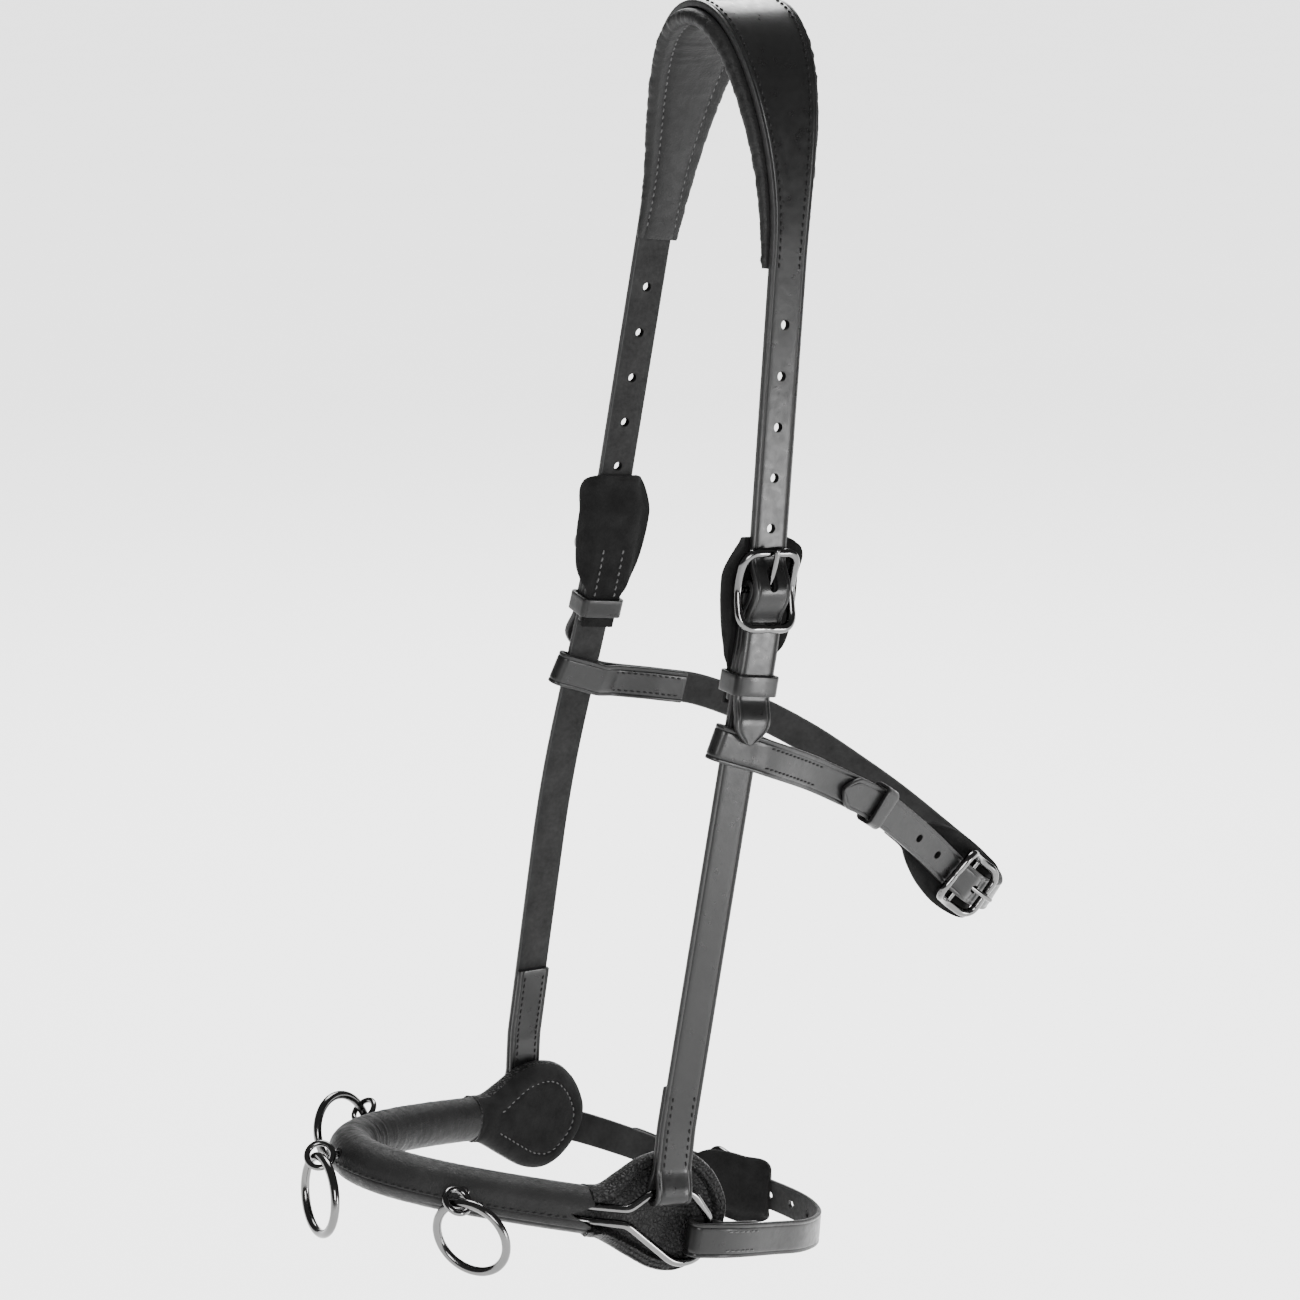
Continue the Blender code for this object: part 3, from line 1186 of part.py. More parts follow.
def make_chin():
    run = chin_run()
    end = run.length
    at = end - CHIN_BUCKLE_BEFORE
    wrap = BAR_RADIUS + BAR_PLAY + CHIN_THICKNESS / 2
    outer, inner = -CHIN_STACK, -2 * CHIN_STACK
    bar = outer + BAR_OVER_LAYER
    rise = bar + wrap + CHIN_THICKNESS + GAP + HUMP_EASE
    frame = CHIN_TOP + GAP + HUMP_EASE + FRAME_RADIUS

    path = Profile(CHIN_TURN_BACK, -CHIN_STACK)
    path.line(CHIN_SLACK + CHIN_FOLD_EASE, -CHIN_STACK).ease(CHIN_SLACK, -2 * CHIN_TURN)
    path.line(0.0, -2 * CHIN_TURN)
    fold(path, 0.0, -CHIN_TURN, CHIN_TURN, -1)
    path.line(at - HUMP_HALF, 0.0).hump(at + HUMP_HALF, rise, HUMP_HALF)
    path.line(at + CHIN_BILLET, 0.0)
    item = lay_strap("chin_long_strap", run, path, CHIN_WIDTH, CHIN_THICKNESS, LEATHER,
                     tip_end=TIP_LENGTH)
    pieces = [item]
    holes = []
    for k in range(-3, 3):
        place = at - USED_HOLE_TO_BAR + k * CHIN_HOLE_PITCH
        length = USED_HOLE_LENGTH if k == 0 else 2 * HOLE_RADIUS
        holes.append((place, HOLE_RADIUS, length, -CHIN_TOP, CHIN_TOP + rise * (k == 0)))
    punch(item, run, holes)

    mid_turn = outer - CHIN_TURN
    path = Profile(at + CHIN_TAIL, inner).line(at + FOLD_EASE, inner).ease(at, bar - wrap)
    fold(path, at, bar, wrap, -1)
    path.ease(at + FOLD_EASE, outer).line(end, outer)
    fold(path, end, mid_turn, CHIN_TURN, 1)
    path.line(end - CHIN_SLACK, outer - 2 * CHIN_TURN)
    path.ease(end - CHIN_SLACK - CHIN_FOLD_EASE, inner).line(end - CHIN_FAR_TURN_BACK, inner)
    item = lay_strap("chin_buckle_strap", run, path, CHIN_WIDTH, CHIN_THICKNESS, LEATHER)
    reach = wrap + CHIN_THICKNESS
    pieces.append(punch(item, run, [(at - SLOT_SHIFT, SLOT_WIDTH / 2, SLOT_LENGTH, bar - reach,
                                     bar + reach)]))

    pieces.append(buckle("chin_buckle", run, at, BUCKLE_WIDTH, BUCKLE_HEIGHT, bar, frame))
    prong("chin_prong", run, at, BUCKLE_HEIGHT, bar, frame, -1)
    guard_height = inner - CHIN_TOP - GUARD_GAP - GUARD_THICKNESS / 2
    pieces.append(guard("chin_guard", run, at, CHIN_GUARD_TOP, CHIN_GUARD_TAIL, CHIN_GUARD_WIDTH,
                        (CHIN_WIDTH, CHIN_TOP), bar, guard_height))
    side = CHIN_WIDTH / 2 + KEEPER_PLAY
    low = outer - CHIN_TOP - KEEPER_PLAY
    band("chin_keeper", run, at + CHIN_KEEPER_AFTER, (-side, side, low, CHIN_TOP + KEEPER_PLAY),
         CHIN_KEEPER_HEIGHT, LEATHER)
    for item in pieces:
        place_origin(item, noseband_pivot())


make_crown_strap()
make_crown_lining()
make_head_side("near", NEAR_RUN, NEAR_CHEEK_TURN_BACK)
make_head_side("far", FAR_RUN, FAR_CHEEK_TURN_BACK)
make_jowl()
make_noseband()
make_chin()
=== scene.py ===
"""The looks of the lunging cavesson: dressed leather, stitching, padding and polished steel built
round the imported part. Metres, +Z up, in the part's own frame. The sizes are those of the part's
source, in its order, with the detail that only the looks have after them."""

import json
import math

import bmesh
import bpy
import numpy as np
from mathutils import Matrix, Vector, noise


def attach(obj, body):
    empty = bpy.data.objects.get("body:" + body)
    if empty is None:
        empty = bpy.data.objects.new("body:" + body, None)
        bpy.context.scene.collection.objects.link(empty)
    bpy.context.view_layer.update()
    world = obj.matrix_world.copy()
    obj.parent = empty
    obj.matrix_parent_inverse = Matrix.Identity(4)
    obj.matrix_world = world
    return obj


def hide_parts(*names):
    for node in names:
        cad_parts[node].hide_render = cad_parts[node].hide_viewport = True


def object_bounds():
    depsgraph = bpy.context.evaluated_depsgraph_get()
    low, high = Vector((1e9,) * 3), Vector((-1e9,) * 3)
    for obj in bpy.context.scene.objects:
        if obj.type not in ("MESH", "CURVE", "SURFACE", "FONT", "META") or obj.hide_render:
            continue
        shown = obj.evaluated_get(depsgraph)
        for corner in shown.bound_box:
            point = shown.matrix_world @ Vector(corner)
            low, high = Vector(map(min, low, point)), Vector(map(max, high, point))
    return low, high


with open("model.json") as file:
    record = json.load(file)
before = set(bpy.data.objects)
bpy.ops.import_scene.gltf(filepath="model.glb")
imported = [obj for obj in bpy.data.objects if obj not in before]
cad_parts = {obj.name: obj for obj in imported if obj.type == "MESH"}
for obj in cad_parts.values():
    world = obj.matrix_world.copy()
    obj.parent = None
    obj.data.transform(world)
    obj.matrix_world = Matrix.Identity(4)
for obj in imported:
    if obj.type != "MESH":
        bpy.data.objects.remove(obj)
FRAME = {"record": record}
CAD_BOX = [list(corner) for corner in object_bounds()]
BODY_OF = {node: body for body, nodes in FRAME["record"]["behaviour"]["bodies"].items()
           for node in nodes}

MM = 0.001

# Fit between pieces
GAP = 0.3 * MM
LAYER_GAP = 0.5 * MM
CUT_OVERRUN = 2.0 * MM

# Sampling of the curves
FINE_STEP = 0.5 * MM
LONGEST_STEP = 5.0 * MM
CHORD_ERROR = 0.025 * MM
TURN_STEP = math.radians(9)
WELD = 0.02 * MM
EDGE_BEVEL = 0.4 * MM

# Headpiece line, seen from the front and from the side
PAD_DROP = 94.0 * MM
PAD_SPREAD = 53.3 * MM
PAD_LEAN = -5.6 * MM
CROWN_REACH = 34.0 * MM
CROWN_SHOULDER = 48.0 * MM
CROWN_POINTS = 120
BEND_DROP = 259.0 * MM
NEAR_BEND_SPREAD = 70.6 * MM
FAR_BEND_SPREAD = 68.4 * MM
BEND_LEAN = -27.7 * MM
BEND_RADIUS = 240.0 * MM
TWIST_FROM = 330.0 * MM
KNEE_LENGTH = 30.0 * MM
KNEE_RADIUS = 50.0 * MM
BOW_RADIUS = 700.0 * MM

# Crown strap, one piece from billet to billet
BILLET_WIDTH = 18.0 * MM
BILLET_THICKNESS = 3.0 * MM
CROWN_WIDTH = 41.0 * MM
CROWN_TAPER = 125.0 * MM
CROWN_TAPER_POWER = 2.3
BILLET_LENGTH = 334.0 * MM
TIP_LENGTH = 10.0 * MM
TIP_RISE_LENGTH = 10.5 * MM
TIP_POWER = 1.9
TIP_NARROWING = 0.9
TIP_STEPS = 12
FIRST_HOLE = 152.8 * MM
HOLE_PITCH = 21.6 * MM
HOLE_COUNT = 7
HOLE_RADIUS = 2.1 * MM
HOLE_SIDES = 24
USED_HOLE = 5
USED_HOLE_LENGTH = 10.5 * MM
USED_HOLE_TO_BAR = 5.0 * MM

# Crown lining, a stitched pad with three channels
LINING_LENGTH = 130.0 * MM
LINING_DEPTH = 8.0 * MM
LINING_RIM = 4.5 * MM
LINING_ROLL = 7.0 * MM
LINING_GROOVE = 2.2 * MM
LINING_GAP = 0.4 * MM
LINING_END_SHARE = 0.42
LINING_ROWS = 240
LINING_ROLL_TURN, LINING_ROLL_POINTS = 15, 13
LINING_END_DROP, LINING_SEAM_SHARE, LINING_FLAT_DEPTH = 0.35, 0.96, 0.5 * MM
CHANNEL_INSET = 1.15
CHANNEL_SHARES = ((1.0, 1.0), (0.93, 0.55), (0.72, 0.22), (0.3, 0.0), (0.0, 0.0))

# Cheek straps, folded round the buckle bar above and the wire loop below
CHEEK_WIDTH = 18.0 * MM
CHEEK_THICKNESS = 2.4 * MM
CHEEK_TAIL = 50.0 * MM
NEAR_CHEEK_TURN_BACK = 49.0 * MM
FAR_CHEEK_TURN_BACK = 67.0 * MM
FAR_CHEEK_BOW = (-3.0 * MM, 5.0 * MM, 0.0)
FAR_BOW_SHARE = 0.45
FOLD_EASE = 12.0 * MM
SLOT_WIDTH = 4.4 * MM
SLOT_LENGTH = 15.0 * MM
SLOT_SHIFT = 0.6 * MM

# Whole buckles: an outer frame with a centre bar
BAR_RADIUS = 1.4 * MM
BAR_PLAY = 0.45 * MM
BAR_UNDER_TOP = 2.2 * MM
BAR_OVER_LAYER = 0.8 * MM
FRAME_RADIUS = 2.0 * MM
BUCKLE_WIDTH = 31.0 * MM
BUCKLE_HEIGHT = 36.8 * MM
FRAME_CORNER = 8.0 * MM
FRAME_ARCH = 1.6
FRAME_STEP = 1.2 * MM
FRAME_END_SHARE = 0.9
FRAME_CORNER_STEPS = 10
NOTCH_WIDTH, NOTCH_DEPTH = 1.5 * MM, 0.16
RIDGE_AT, RIDGE_WIDTH, RIDGE_HEIGHT = 6.5 * MM, 0.8 * MM, 0.05
PRONG_RADIUS = 1.2 * MM
HOOK_START, HOOK_TURN, HOOK_STEPS = math.radians(-60), math.radians(220), 24
ROD_SIDES = 20
ROD_END_ANGLES, ROD_END_SHARE = (5, 20, 40, 60, 80), 0.05
TONGUE_RISE, TONGUE_CREST, TONGUE_END = (0.30, 0.36), (0.68, 0.86), 1.2
HUMP_HALF = 14.0 * MM
HUMP_EASE = 0.25 * MM

# Buckle guards, leather safes behind the buckles: each reaches up, down and across
GUARD_THICKNESS = 1.8 * MM
GUARD_GAP = 0.55 * MM
CHEEK_GUARD = (22.5 * MM, 52.0 * MM, 38.5 * MM)
GUARD_RISE_FROM = 4.5 * MM
GUARD_RISE_TO = 18.0 * MM
GUARD_FLAP_EASE = 5.0 * MM
GUARD_FLAP_PLAY = 1.3 * MM
GUARD_FLAP_LIFT = 3.4 * MM
GUARD_SEAM_END = 4.0 * MM
GUARD_ROWS, GUARD_COLUMNS = 60, 15
GUARD_SPAN = 10
GUARD_BEVEL = EDGE_BEVEL * 1.2
GUARD_SHARES = ((0.0, 0.58), (0.023, 0.73), (0.065, 0.88), (0.137, 0.97), (0.31, 1.0),
                (0.486, 0.94), (0.60, 0.85), (0.68, 0.72), (0.74, 0.56), (0.80, 0.47), (1.0, 0.45))

# Keepers, leather bands round the layers
KEEPER_THICKNESS = 1.8 * MM
KEEPER_PLAY = 0.6 * MM
KEEPER_COLUMNS = 5
KEEPER_CORNER = 1.1
CHEEK_KEEPER_HEIGHT = 9.0 * MM
CHEEK_KEEPER_BELOW = 42.0 * MM

# Jowl strap
JOWL_WIDTH = 16.0 * MM
JOWL_THICKNESS = 2.2 * MM
JOWL_NEAR_DROP = 310.0 * MM
JOWL_FAR_DROP = 317.0 * MM
JOWL_LEAD = 4.0 * MM
JOWL_LOOP_EASE = 14.0 * MM
JOWL_LOOP_PLAY = 0.8 * MM
JOWL_EDGE_PLAY = 1.7 * MM
JOWL_LOOP_SLOPE = math.radians(12.4)
JOWL_TURN_BACK = 72.0 * MM
JOWL_BUCKLE_AT = 210.0 * MM
JOWL_TAIL = 40.0 * MM
JOWL_BILLET = 123.0 * MM
JOWL_HOLE_PITCH = 19.5 * MM
JOWL_KEEPER_BEFORE = 92.0 * MM
JOWL_KEEPER_HEIGHT = 9.0 * MM
JOWL_GUARD = (22.0 * MM, 66.0 * MM, 36.0 * MM)

# Noseband body: where it hangs and how it is turned there
NOSE_PLACE = (-111.6 * MM, -2.0 * MM, -517.9 * MM)
NOSE_ROLL = math.radians(-9.8)
NOSE_PITCH = math.radians(15.8)
NOSE_YAW = math.radians(-3.5)
NOSE_HALF_WIDTH = 71.8 * MM
NOSE_LENGTH = 87.5 * MM
FAR_HALF_WIDTH = 64.5 * MM
FAR_SPLAY = math.radians(12)
SPLAY_CENTRE = (33.0 * MM, 72.0 * MM)
TUBE_RADIUS = 11.0 * MM
TUBE_END = -4.3 * MM

# Noseband pads
PAD_FRONT = TUBE_END + GAP
PAD_LENGTH = 72.0 * MM
PAD_HALF_HEIGHT = 29.0 * MM
PAD_FACE = 73.2 * MM
PAD_INNER_FRONT = 61.5 * MM
PAD_INNER_REAR = 67.5 * MM
PAD_OUTLINE_SHARES = ((0.0, 0.36, 0.36), (0.10, 0.41, 0.42), (0.20, 0.59, 0.53),
                      (0.34, 0.85, 0.70), (0.53, 0.99, 0.90), (0.70, 0.95, 0.93),
                      (0.84, 0.74, 0.77), (0.94, 0.46, 0.50), (1.0, 0.16, 0.18))

# Wire loops
WIRE_RADIUS = 2.0 * MM
WIRE_OUT = 80.6 * MM
WIRE_ROOT_INNER = (-10.5 * MM, 73.0 * MM)
WIRE_ROOT_OUTER = (-3.6 * MM, 76.5 * MM)
WIRE_ROOT_FILLET = 8.0 * MM
WIRE_PLAY = 1.45 * MM

# Rings and their eyes
RING_RADIUS = 17.2 * MM
RING_WIRE = 2.0 * MM
EYE_RADIUS = 5.9 * MM
EYE_WIRE = 1.4 * MM
EYE_STAND_OFF = 7.6 * MM
EYE_SLOPE = (0.136, 0.80, -0.583)
EYE_REACH = (0.949, -0.271, -0.15)
SHANK_DEPTH = 5.0 * MM
EYE_SIDES = 14
RING_GAP = 0.7 * MM
EYE_SHARES = {"near": -0.641, "front": -0.034, "far": 0.627}
EYE_RISES = {"near": math.radians(16.8), "front": math.radians(20.0), "far": math.radians(16.5)}
RING_REACH = {"near": (0.269, -0.316, -0.910), "front": (-0.140, -0.520, -0.840),
              "far": (-0.826, -0.539, -0.167)}
RING_FACING = {"near": (0.815, 0.578, 0.040), "front": (-0.986, 0.018, 0.166),
               "far": (-0.454, 0.811, -0.369)}

# Chin strap
CHIN_WIDTH = 16.0 * MM
CHIN_THICKNESS = 2.2 * MM
CHIN_TURN_BACK = 34.0 * MM
CHIN_FOLD_EASE = 8.0 * MM
CHIN_STRAIGHT = 16.0 * MM
CHIN_SLACK = 4.0 * MM
CHIN_FAR_TURN_BACK = 26.0 * MM
CHIN_BUCKLE_BEFORE = 116.0 * MM
CHIN_TAIL = 28.0 * MM
CHIN_BILLET = 66.0 * MM
CHIN_HOLE_PITCH = 16.0 * MM
CHIN_KEEPER_AFTER = 39.0 * MM
CHIN_KEEPER_HEIGHT = 8.0 * MM
CHIN_GUARD = (22.0 * MM, 40.0 * MM, 36.0 * MM)

# Camera of the photograph
LOOK_AT = (-41.7 * MM, 0.0, -274.5 * MM)
CAMERA_DISTANCE = 1030.0 * MM
CAMERA_AZIMUTH = math.radians(-31)
CAMERA_ELEVATION = math.radians(18.6)
SENSOR_WIDTH = 36.0
FOCAL_SHARE = 2250 / 1300

# Section of a dressed strap
EDGE_ROUND = 0.75 * MM
CREASE_INSET = 1.9 * MM
CREASE_DEPTH = 0.32 * MM
CREASE_HALF_WIDTH = 0.45 * MM
END_ROUND = 0.4 * MM
EDGE_ROUND_SHARE, INSET_SHARE, CREASE_SHARE = 0.8, 0.38, 0.25
EDGE_ANGLE = 22.5
EDGE_POINTS = 5
CREASE_SHARES = ((-2, 0.0), (-1, 0.25), (0, 1.0), (1, 0.25), (2, 0.0))
BEVEL_SEGMENTS, BEVEL_ANGLE = 3, math.radians(60)

# Stitching
STITCH_PITCH = 3.4 * MM
STITCH_LENGTH = 2.4 * MM
STITCH_RADIUS = 0.44 * MM
STITCH_SINK = 0.08 * MM
STITCH_SLANT = 0.16
STITCH_INSET = 3.5 * MM
THREAD_SIDES = 6
STITCH_RINGS = ((-1.0, 0.25, -0.9), (-0.8, 0.75, -0.35), (-0.4, 1.0, 0.0), (0.4, 1.0, 0.0),
                (0.8, 0.75, -0.35), (1.0, 0.25, -0.9))
SEAM_INSET = 3.8 * MM
END_MARGIN = 3.0 * MM

# Padding
WRINKLE = 0.55 * MM
LINING_CREASES, LINING_RIPPLES = (3.6 * MM, 26 * MM), (1.7 * MM, 15 * MM)
PAD_WAVES, PAD_FOLDS, PAD_RIPPLES = (9 * MM, 9 * MM), (3.2 * MM, 13 * MM), (1.9 * MM, 16 * MM)
PAD_RIPPLE_CENTRE = 20 * MM
TUBE_CREASES, TUBE_RIPPLES = 3.0 * MM, 1.4 * MM
TUBE_CREASE_TURN, TUBE_RIPPLE_TURN = 0.7, 1.1
NEAR_BEND_SHARE, OUTSIDE_SHARE, STRAIGHT_SHARE = 0.45, 0.25, 0.15
TUBE_CREASE_SHARE, TUBE_RIPPLE_SHARE = 0.65, 0.35
RIDGE_SHARE, RIDGE_CREASE_SHARE = 0.6, 0.4
NEAR_FOLD_FROM, NEAR_FOLD_EASE = -0.45, 0.2
LINING_END_ROUND = 3.0 * MM
LINING_SEED, PAD_SEED, TUBE_SEEDS = 5.0, 7.0, (3.0, 9.0)
LINING_FACE_SHARE, LINING_PULL, LINING_RIPPLE_SHARE = 0.2, 0.25, 0.6
TUBE_SKIN = 0.35 * MM
TUBE_SEAM_ANGLE = math.radians(-14)
TUBE_ROWS, TUBE_SIDES = 260, 96
TUBE_SEAM_END, TUBE_SEAM_POINTS, TUBE_SEAM_HEIGHT = 0.97, 400, 0.4 * MM
TUBE_SEAM_REACH = (0.02, 0.98)
TOP_RIDGE, SEAM_WELT, SEAM_GROOVE, NEAR_FOLD = 0.35 * MM, 0.45 * MM, 0.55 * MM, 0.5 * MM
SEAM_ANGLE, RIDGE_SPREAD, WELT_SPREAD = 0.10, 0.16, 0.09
GROOVE_PLACE, NEAR_FOLD_PLACE = (-0.03, 0.035), (-0.48, 0.05)
FAR_BEND, NEAR_BEND = (0.42, 0.30), (-0.25, 0.3)
TOP_RIDGE_ANGLE = math.radians(80)
PAD_UNEVEN = 0.35 * MM
PAD_UNEVEN_FROM = 3 * MM
PAD_SCALES = ((0.03, 0.70, 15), (0.73, 1.0, 24))
PAD_EDGE_STEP, PAD_EDGE_JUMP = 0.3 * MM, 5 * MM
PAD_WELT_RINGS = 2
PAD_SPAN = 10
PAD_FOLD_TOP, PAD_FOLD_BELOW, PAD_RIPPLE_SHARE = 1.2, 0.5, 0.55
PAD_TRUMPET_POWER, PAD_TRUMPET_SEAM = 1.5, 3
PAD_SEAM_SHARE, PAD_SEAM_SKIP = 0.93, 4
SEAM_SPREAD = 0.7 * MM
PAD_SEAM_DEPTH = 0.8 * MM
PAD_BORDER_SEAM = 3.4 * MM
PAD_INNER_SEAM = 9.0 * MM
PAD_LIP = 4.4 * MM
PAD_LIP_DROP = 1.6 * MM
PAD_LIP_LENGTH = 26.0 * MM
PAD_TRUMPET = 0.62
PAD_EDGE_ROUND = 7.0 * MM
PAD_EDGE_DROP = 0.6 * MM
PAD_PROFILE = (
    np.array((0.0, 0.4, 0.9, 1.4, 1.9, 3.0, 3.4, 3.8, 5.0, 5.8, 6.8, 10.0, 18.0)) * MM,
    np.array((0.2, 1.3, 1.8, 1.4, 1.6, 1.75, 1.3, 1.75, 1.6, 0.3, -1.1, -1.2, -0.4)) * MM)
WASHER_RADIUS = 2.5 * MM
WASHER = ((0.0, 0.96), (0.3, 1.0), (0.9, 1.0), (1.1, 0.9))
WASHER_SINK, WASHER_SIDES = 0.6 * MM, 28
WIRE_SIDES, RING_POINTS, SHANK_STEPS = 24, 96, 12
WIRE_EASES = 12
WIRE_POLISH = 0.1 * MM
KEEPER_BULGE = 1.0 * MM
TUBE_TUCK = 3.0 * MM
MOUTH_LENGTH = 9.0 * MM
MOUTH_HALF = 6.4 * MM
MOUTH_FLOOR = 1.5 * MM

# Studio
WORLD_STRENGTH = 0.15
OVERHEAD_STRENGTH = 10.0
OVERHEAD_SPREAD = math.radians(60)
LIGHTS = (("key", (-0.9, -1.9, 0.5), 0.9, 45.0), ("side", (1.0, -1.6, -0.5), 0.5, 26.0),
          ("back", (0.75, 1.25, 1.05), 1.1, 60.0))
FLOOR_HALF = 60.0
FLOOR_BELOW = 0.25
BACKDROP_RADIUS = 25.0
BACKDROP_HEIGHT = 60.0
BACKDROP_GLOW = 2.8
BACKDROP_SIDES = 96
WHITE = (1.0, 1.0, 1.0, 1.0)

SLOTS = ("bridle_leather", "soft_leather", "suede", "steel")
LEATHER, SOFT_LEATHER, SUEDE, STEEL = SLOTS
THREAD, PALE_THREAD, PAD = "thread", "pale_thread", "pad"


# Materials

CELLS = "cells"
NOISE_LOW, NOISE_HIGH = 0.3, 0.7


def grey(level, warmth=0.0):
    return level * (1 + warmth), level, level * (1 - warmth), 1.0


def make_look(name, colour, stops, roughness, bumps=(), **sockets):
    """A node material. A texture is a noise's scale and detail, or the scale of a cell pattern
    and CELLS. colour is the texture that goes through the stops: place, grey and warmth.
    roughness is a number, or a texture and its range. Each bump has a texture, a strength, a
    distance and a stretch, and sockets are the shader's all-over values."""
    material = bpy.data.materials.new(name)
    material.use_nodes = True
    tree = material.node_tree

    def fill(node, **inputs):
        for key, value in inputs.items():
            socket = node.inputs[key.replace("_", " ")]
            if isinstance(value, bpy.types.NodeSocket):
                tree.links.new(value, socket)
            else:
                socket.default_value = value
        return node

    def add(kind, **inputs):
        return fill(tree.nodes.new("ShaderNode" + kind), **inputs)

    place = add("TexCoord").outputs["Object"]

    def texture(scale, detail, stretch=None):
        vector = place
        if stretch:
            vector = add("Mapping", Vector=place, Scale=stretch).outputs["Vector"]
        if detail == CELLS:
            cells = add("TexVoronoi")
            cells.feature = "DISTANCE_TO_EDGE"
            return fill(cells, Scale=scale, Vector=vector).outputs["Distance"]
        return add("TexNoise", Scale=scale, Detail=detail, Vector=vector).outputs["Fac"]

    ramp = add("ValToRGB", Fac=texture(*colour))
    elements = ramp.color_ramp.elements
    for element, (at, *tone) in zip(elements, (stops[0], stops[-1])):
        element.position, element.color = at, grey(*tone)
    for at, *tone in stops[1:-1]:
        elements.new(at).color = grey(*tone)
    if isinstance(roughness, tuple):
        scale, detail, low, high = roughness
        roughness = add("MapRange", Value=texture(scale, detail), From_Min=NOISE_LOW,
                        From_Max=NOISE_HIGH, To_Min=low, To_Max=high).outputs["Result"]
    normal = {}
    for scale, detail, strength, distance, *stretch in bumps:
        bump = add("Bump", Height=texture(scale, detail, *stretch), Strength=strength,
                   Distance=distance, **normal)
        normal = {"Normal": bump.outputs["Normal"]}
    fill(tree.nodes["Principled BSDF"], Base_Color=ramp.outputs["Color"], Roughness=roughness,
         **normal, **sockets)
    return material


GRAIN = make_look("bridle_grain", (28.0, 4.0), ((0.25, 0.0035), (0.55, 0.005), (0.85, 0.008)),
                  (260.0, 5.0, 0.26, 0.44),
                  ((900.0, CELLS, 0.20, 0.00008), (420.0, 4.0, 0.30, 0.00016),
                   (60.0, 2.0, 0.30, 0.0006)),
                  Coat_Weight=0.10, Coat_Roughness=0.14, Specular_IOR_Level=0.20)
EDGE = make_look("burnished_edge", (300.0, 4.0), ((0.3, 0.003), (0.8, 0.010)),
                 (900.0, 3.0, 0.42, 0.62), ((1400.0, 4.0, 0.4, 0.0001),), Specular_IOR_Level=0.30)
FLESH = make_look("flesh_side", (90.0, 5.0), ((0.25, 0.005), (0.75, 0.012)),
                  (500.0, 3.0, 0.65, 0.85), ((1800.0, 5.0, 0.5, 0.00015),),
                  Sheen_Weight=0.02, Specular_IOR_Level=0.14)
SOFT = make_look("soft_grain", (40.0, 4.0), ((0.25, 0.004), (0.80, 0.009)),
                 (200.0, 4.0, 0.42, 0.58), ((900.0, CELLS, 0.60, 0.0004),
                                            (330.0, 4.0, 0.55, 0.0006), (80.0, 3.0, 0.3, 0.0009)),
                 Specular_IOR_Level=0.16)
# The pads' pebble grain: its colour follows the cells, dark in the valleys and light on the crests.
# This is partly the grain's own darker valleys and partly painted shade in the valleys and a
# painted highlight on the crests.
PEBBLE_GRAIN_AND_SHADE = make_look("pebble_grain_and_painted_shade", (520.0, CELLS), ((0.0, 0.0015), (0.12, 0.004), (0.40, 0.014)),
                   (200.0, 4.0, 0.42, 0.58), ((520.0, CELLS, 0.9, 0.0012),
                                              (80.0, 3.0, 0.3, 0.0009)), Specular_IOR_Level=0.16)
NAP = make_look("napped_suede", (120.0, 5.0), ((0.25, 0.003), (0.80, 0.008)),
                (700.0, 3.0, 0.8, 0.97), ((2200.0, 5.0, 0.6, 0.0002), (160.0, 3.0, 0.3, 0.0006)),
                Sheen_Weight=0.02, Sheen_Roughness=0.5, Specular_IOR_Level=0.06)
POLISH = make_look("polished_steel_look", (45.0, 3.0), ((0.3, 0.10), (0.8, 0.14, 0.01)),
                   (350.0, 5.0, 0.09, 0.22), ((1500.0, 3.0, 0.05, 0.00005, (1.0, 1.0, 0.12)),),
                   Metallic=1.0)
PALE = make_look("pale_thread", (900.0, 3.0), ((0.3, 0.020), (0.8, 0.050)), 0.6,
                 ((3500.0, 2.0, 0.5, 0.0001),))
WAXED = make_look("waxed_thread", (900.0, 3.0), ((0.3, 0.002), (0.8, 0.006)), 0.6,
                  ((3500.0, 2.0, 0.5, 0.0001),), Specular_IOR_Level=0.15)

# A strap has a grain face, a burnished edge and a flesh side
# A pad's face has pebble grain whose colour carries painted shade and painted highlights, and its
# inside is suede
LOOKS = {LEATHER: (GRAIN, EDGE, FLESH), SOFT_LEATHER: (SOFT,), SUEDE: (NAP, EDGE),
         STEEL: (POLISH,), THREAD: (WAXED,), PALE_THREAD: (PALE,), PAD: (PEBBLE_GRAIN_AND_SHADE, NAP)}


# Curves in space

def unit(vectors):
    return vectors / np.linalg.norm(vectors, axis=-1, keepdims=True)


def lengths(points):
    """How far along its line each point lies."""
    return np.concatenate([[0.0], np.cumsum(np.linalg.norm(np.diff(points, axis=0), axis=1))])


def read(at, places, values):
    """Rows of values known at some places, read at others."""
    return np.stack([np.interp(at, places, column) for column in values.T], -1)


def bell(value, middle, width):
    """A bell of height 1 round the middle."""
    return math.exp(-((value - middle) / width) ** 2)


def wrinkles(sizes, x, y, layer):
    """Smooth hills of these sizes, from -1 to 1, the same on each run."""
    return noise.noise(Vector((x / sizes[0], y / sizes[1], layer)))


def bezier(p0, p1, p2, p3, count):
    t = np.linspace(0.0, 1.0, count)[:, None]
    p0, p1, p2, p3 = (np.array(p) for p in (p0, p1, p2, p3))
    return (1 - t) ** 3 * p0 + 3 * (1 - t) ** 2 * t * p1 + 3 * (1 - t) * t * t * p2 + t ** 3 * p3


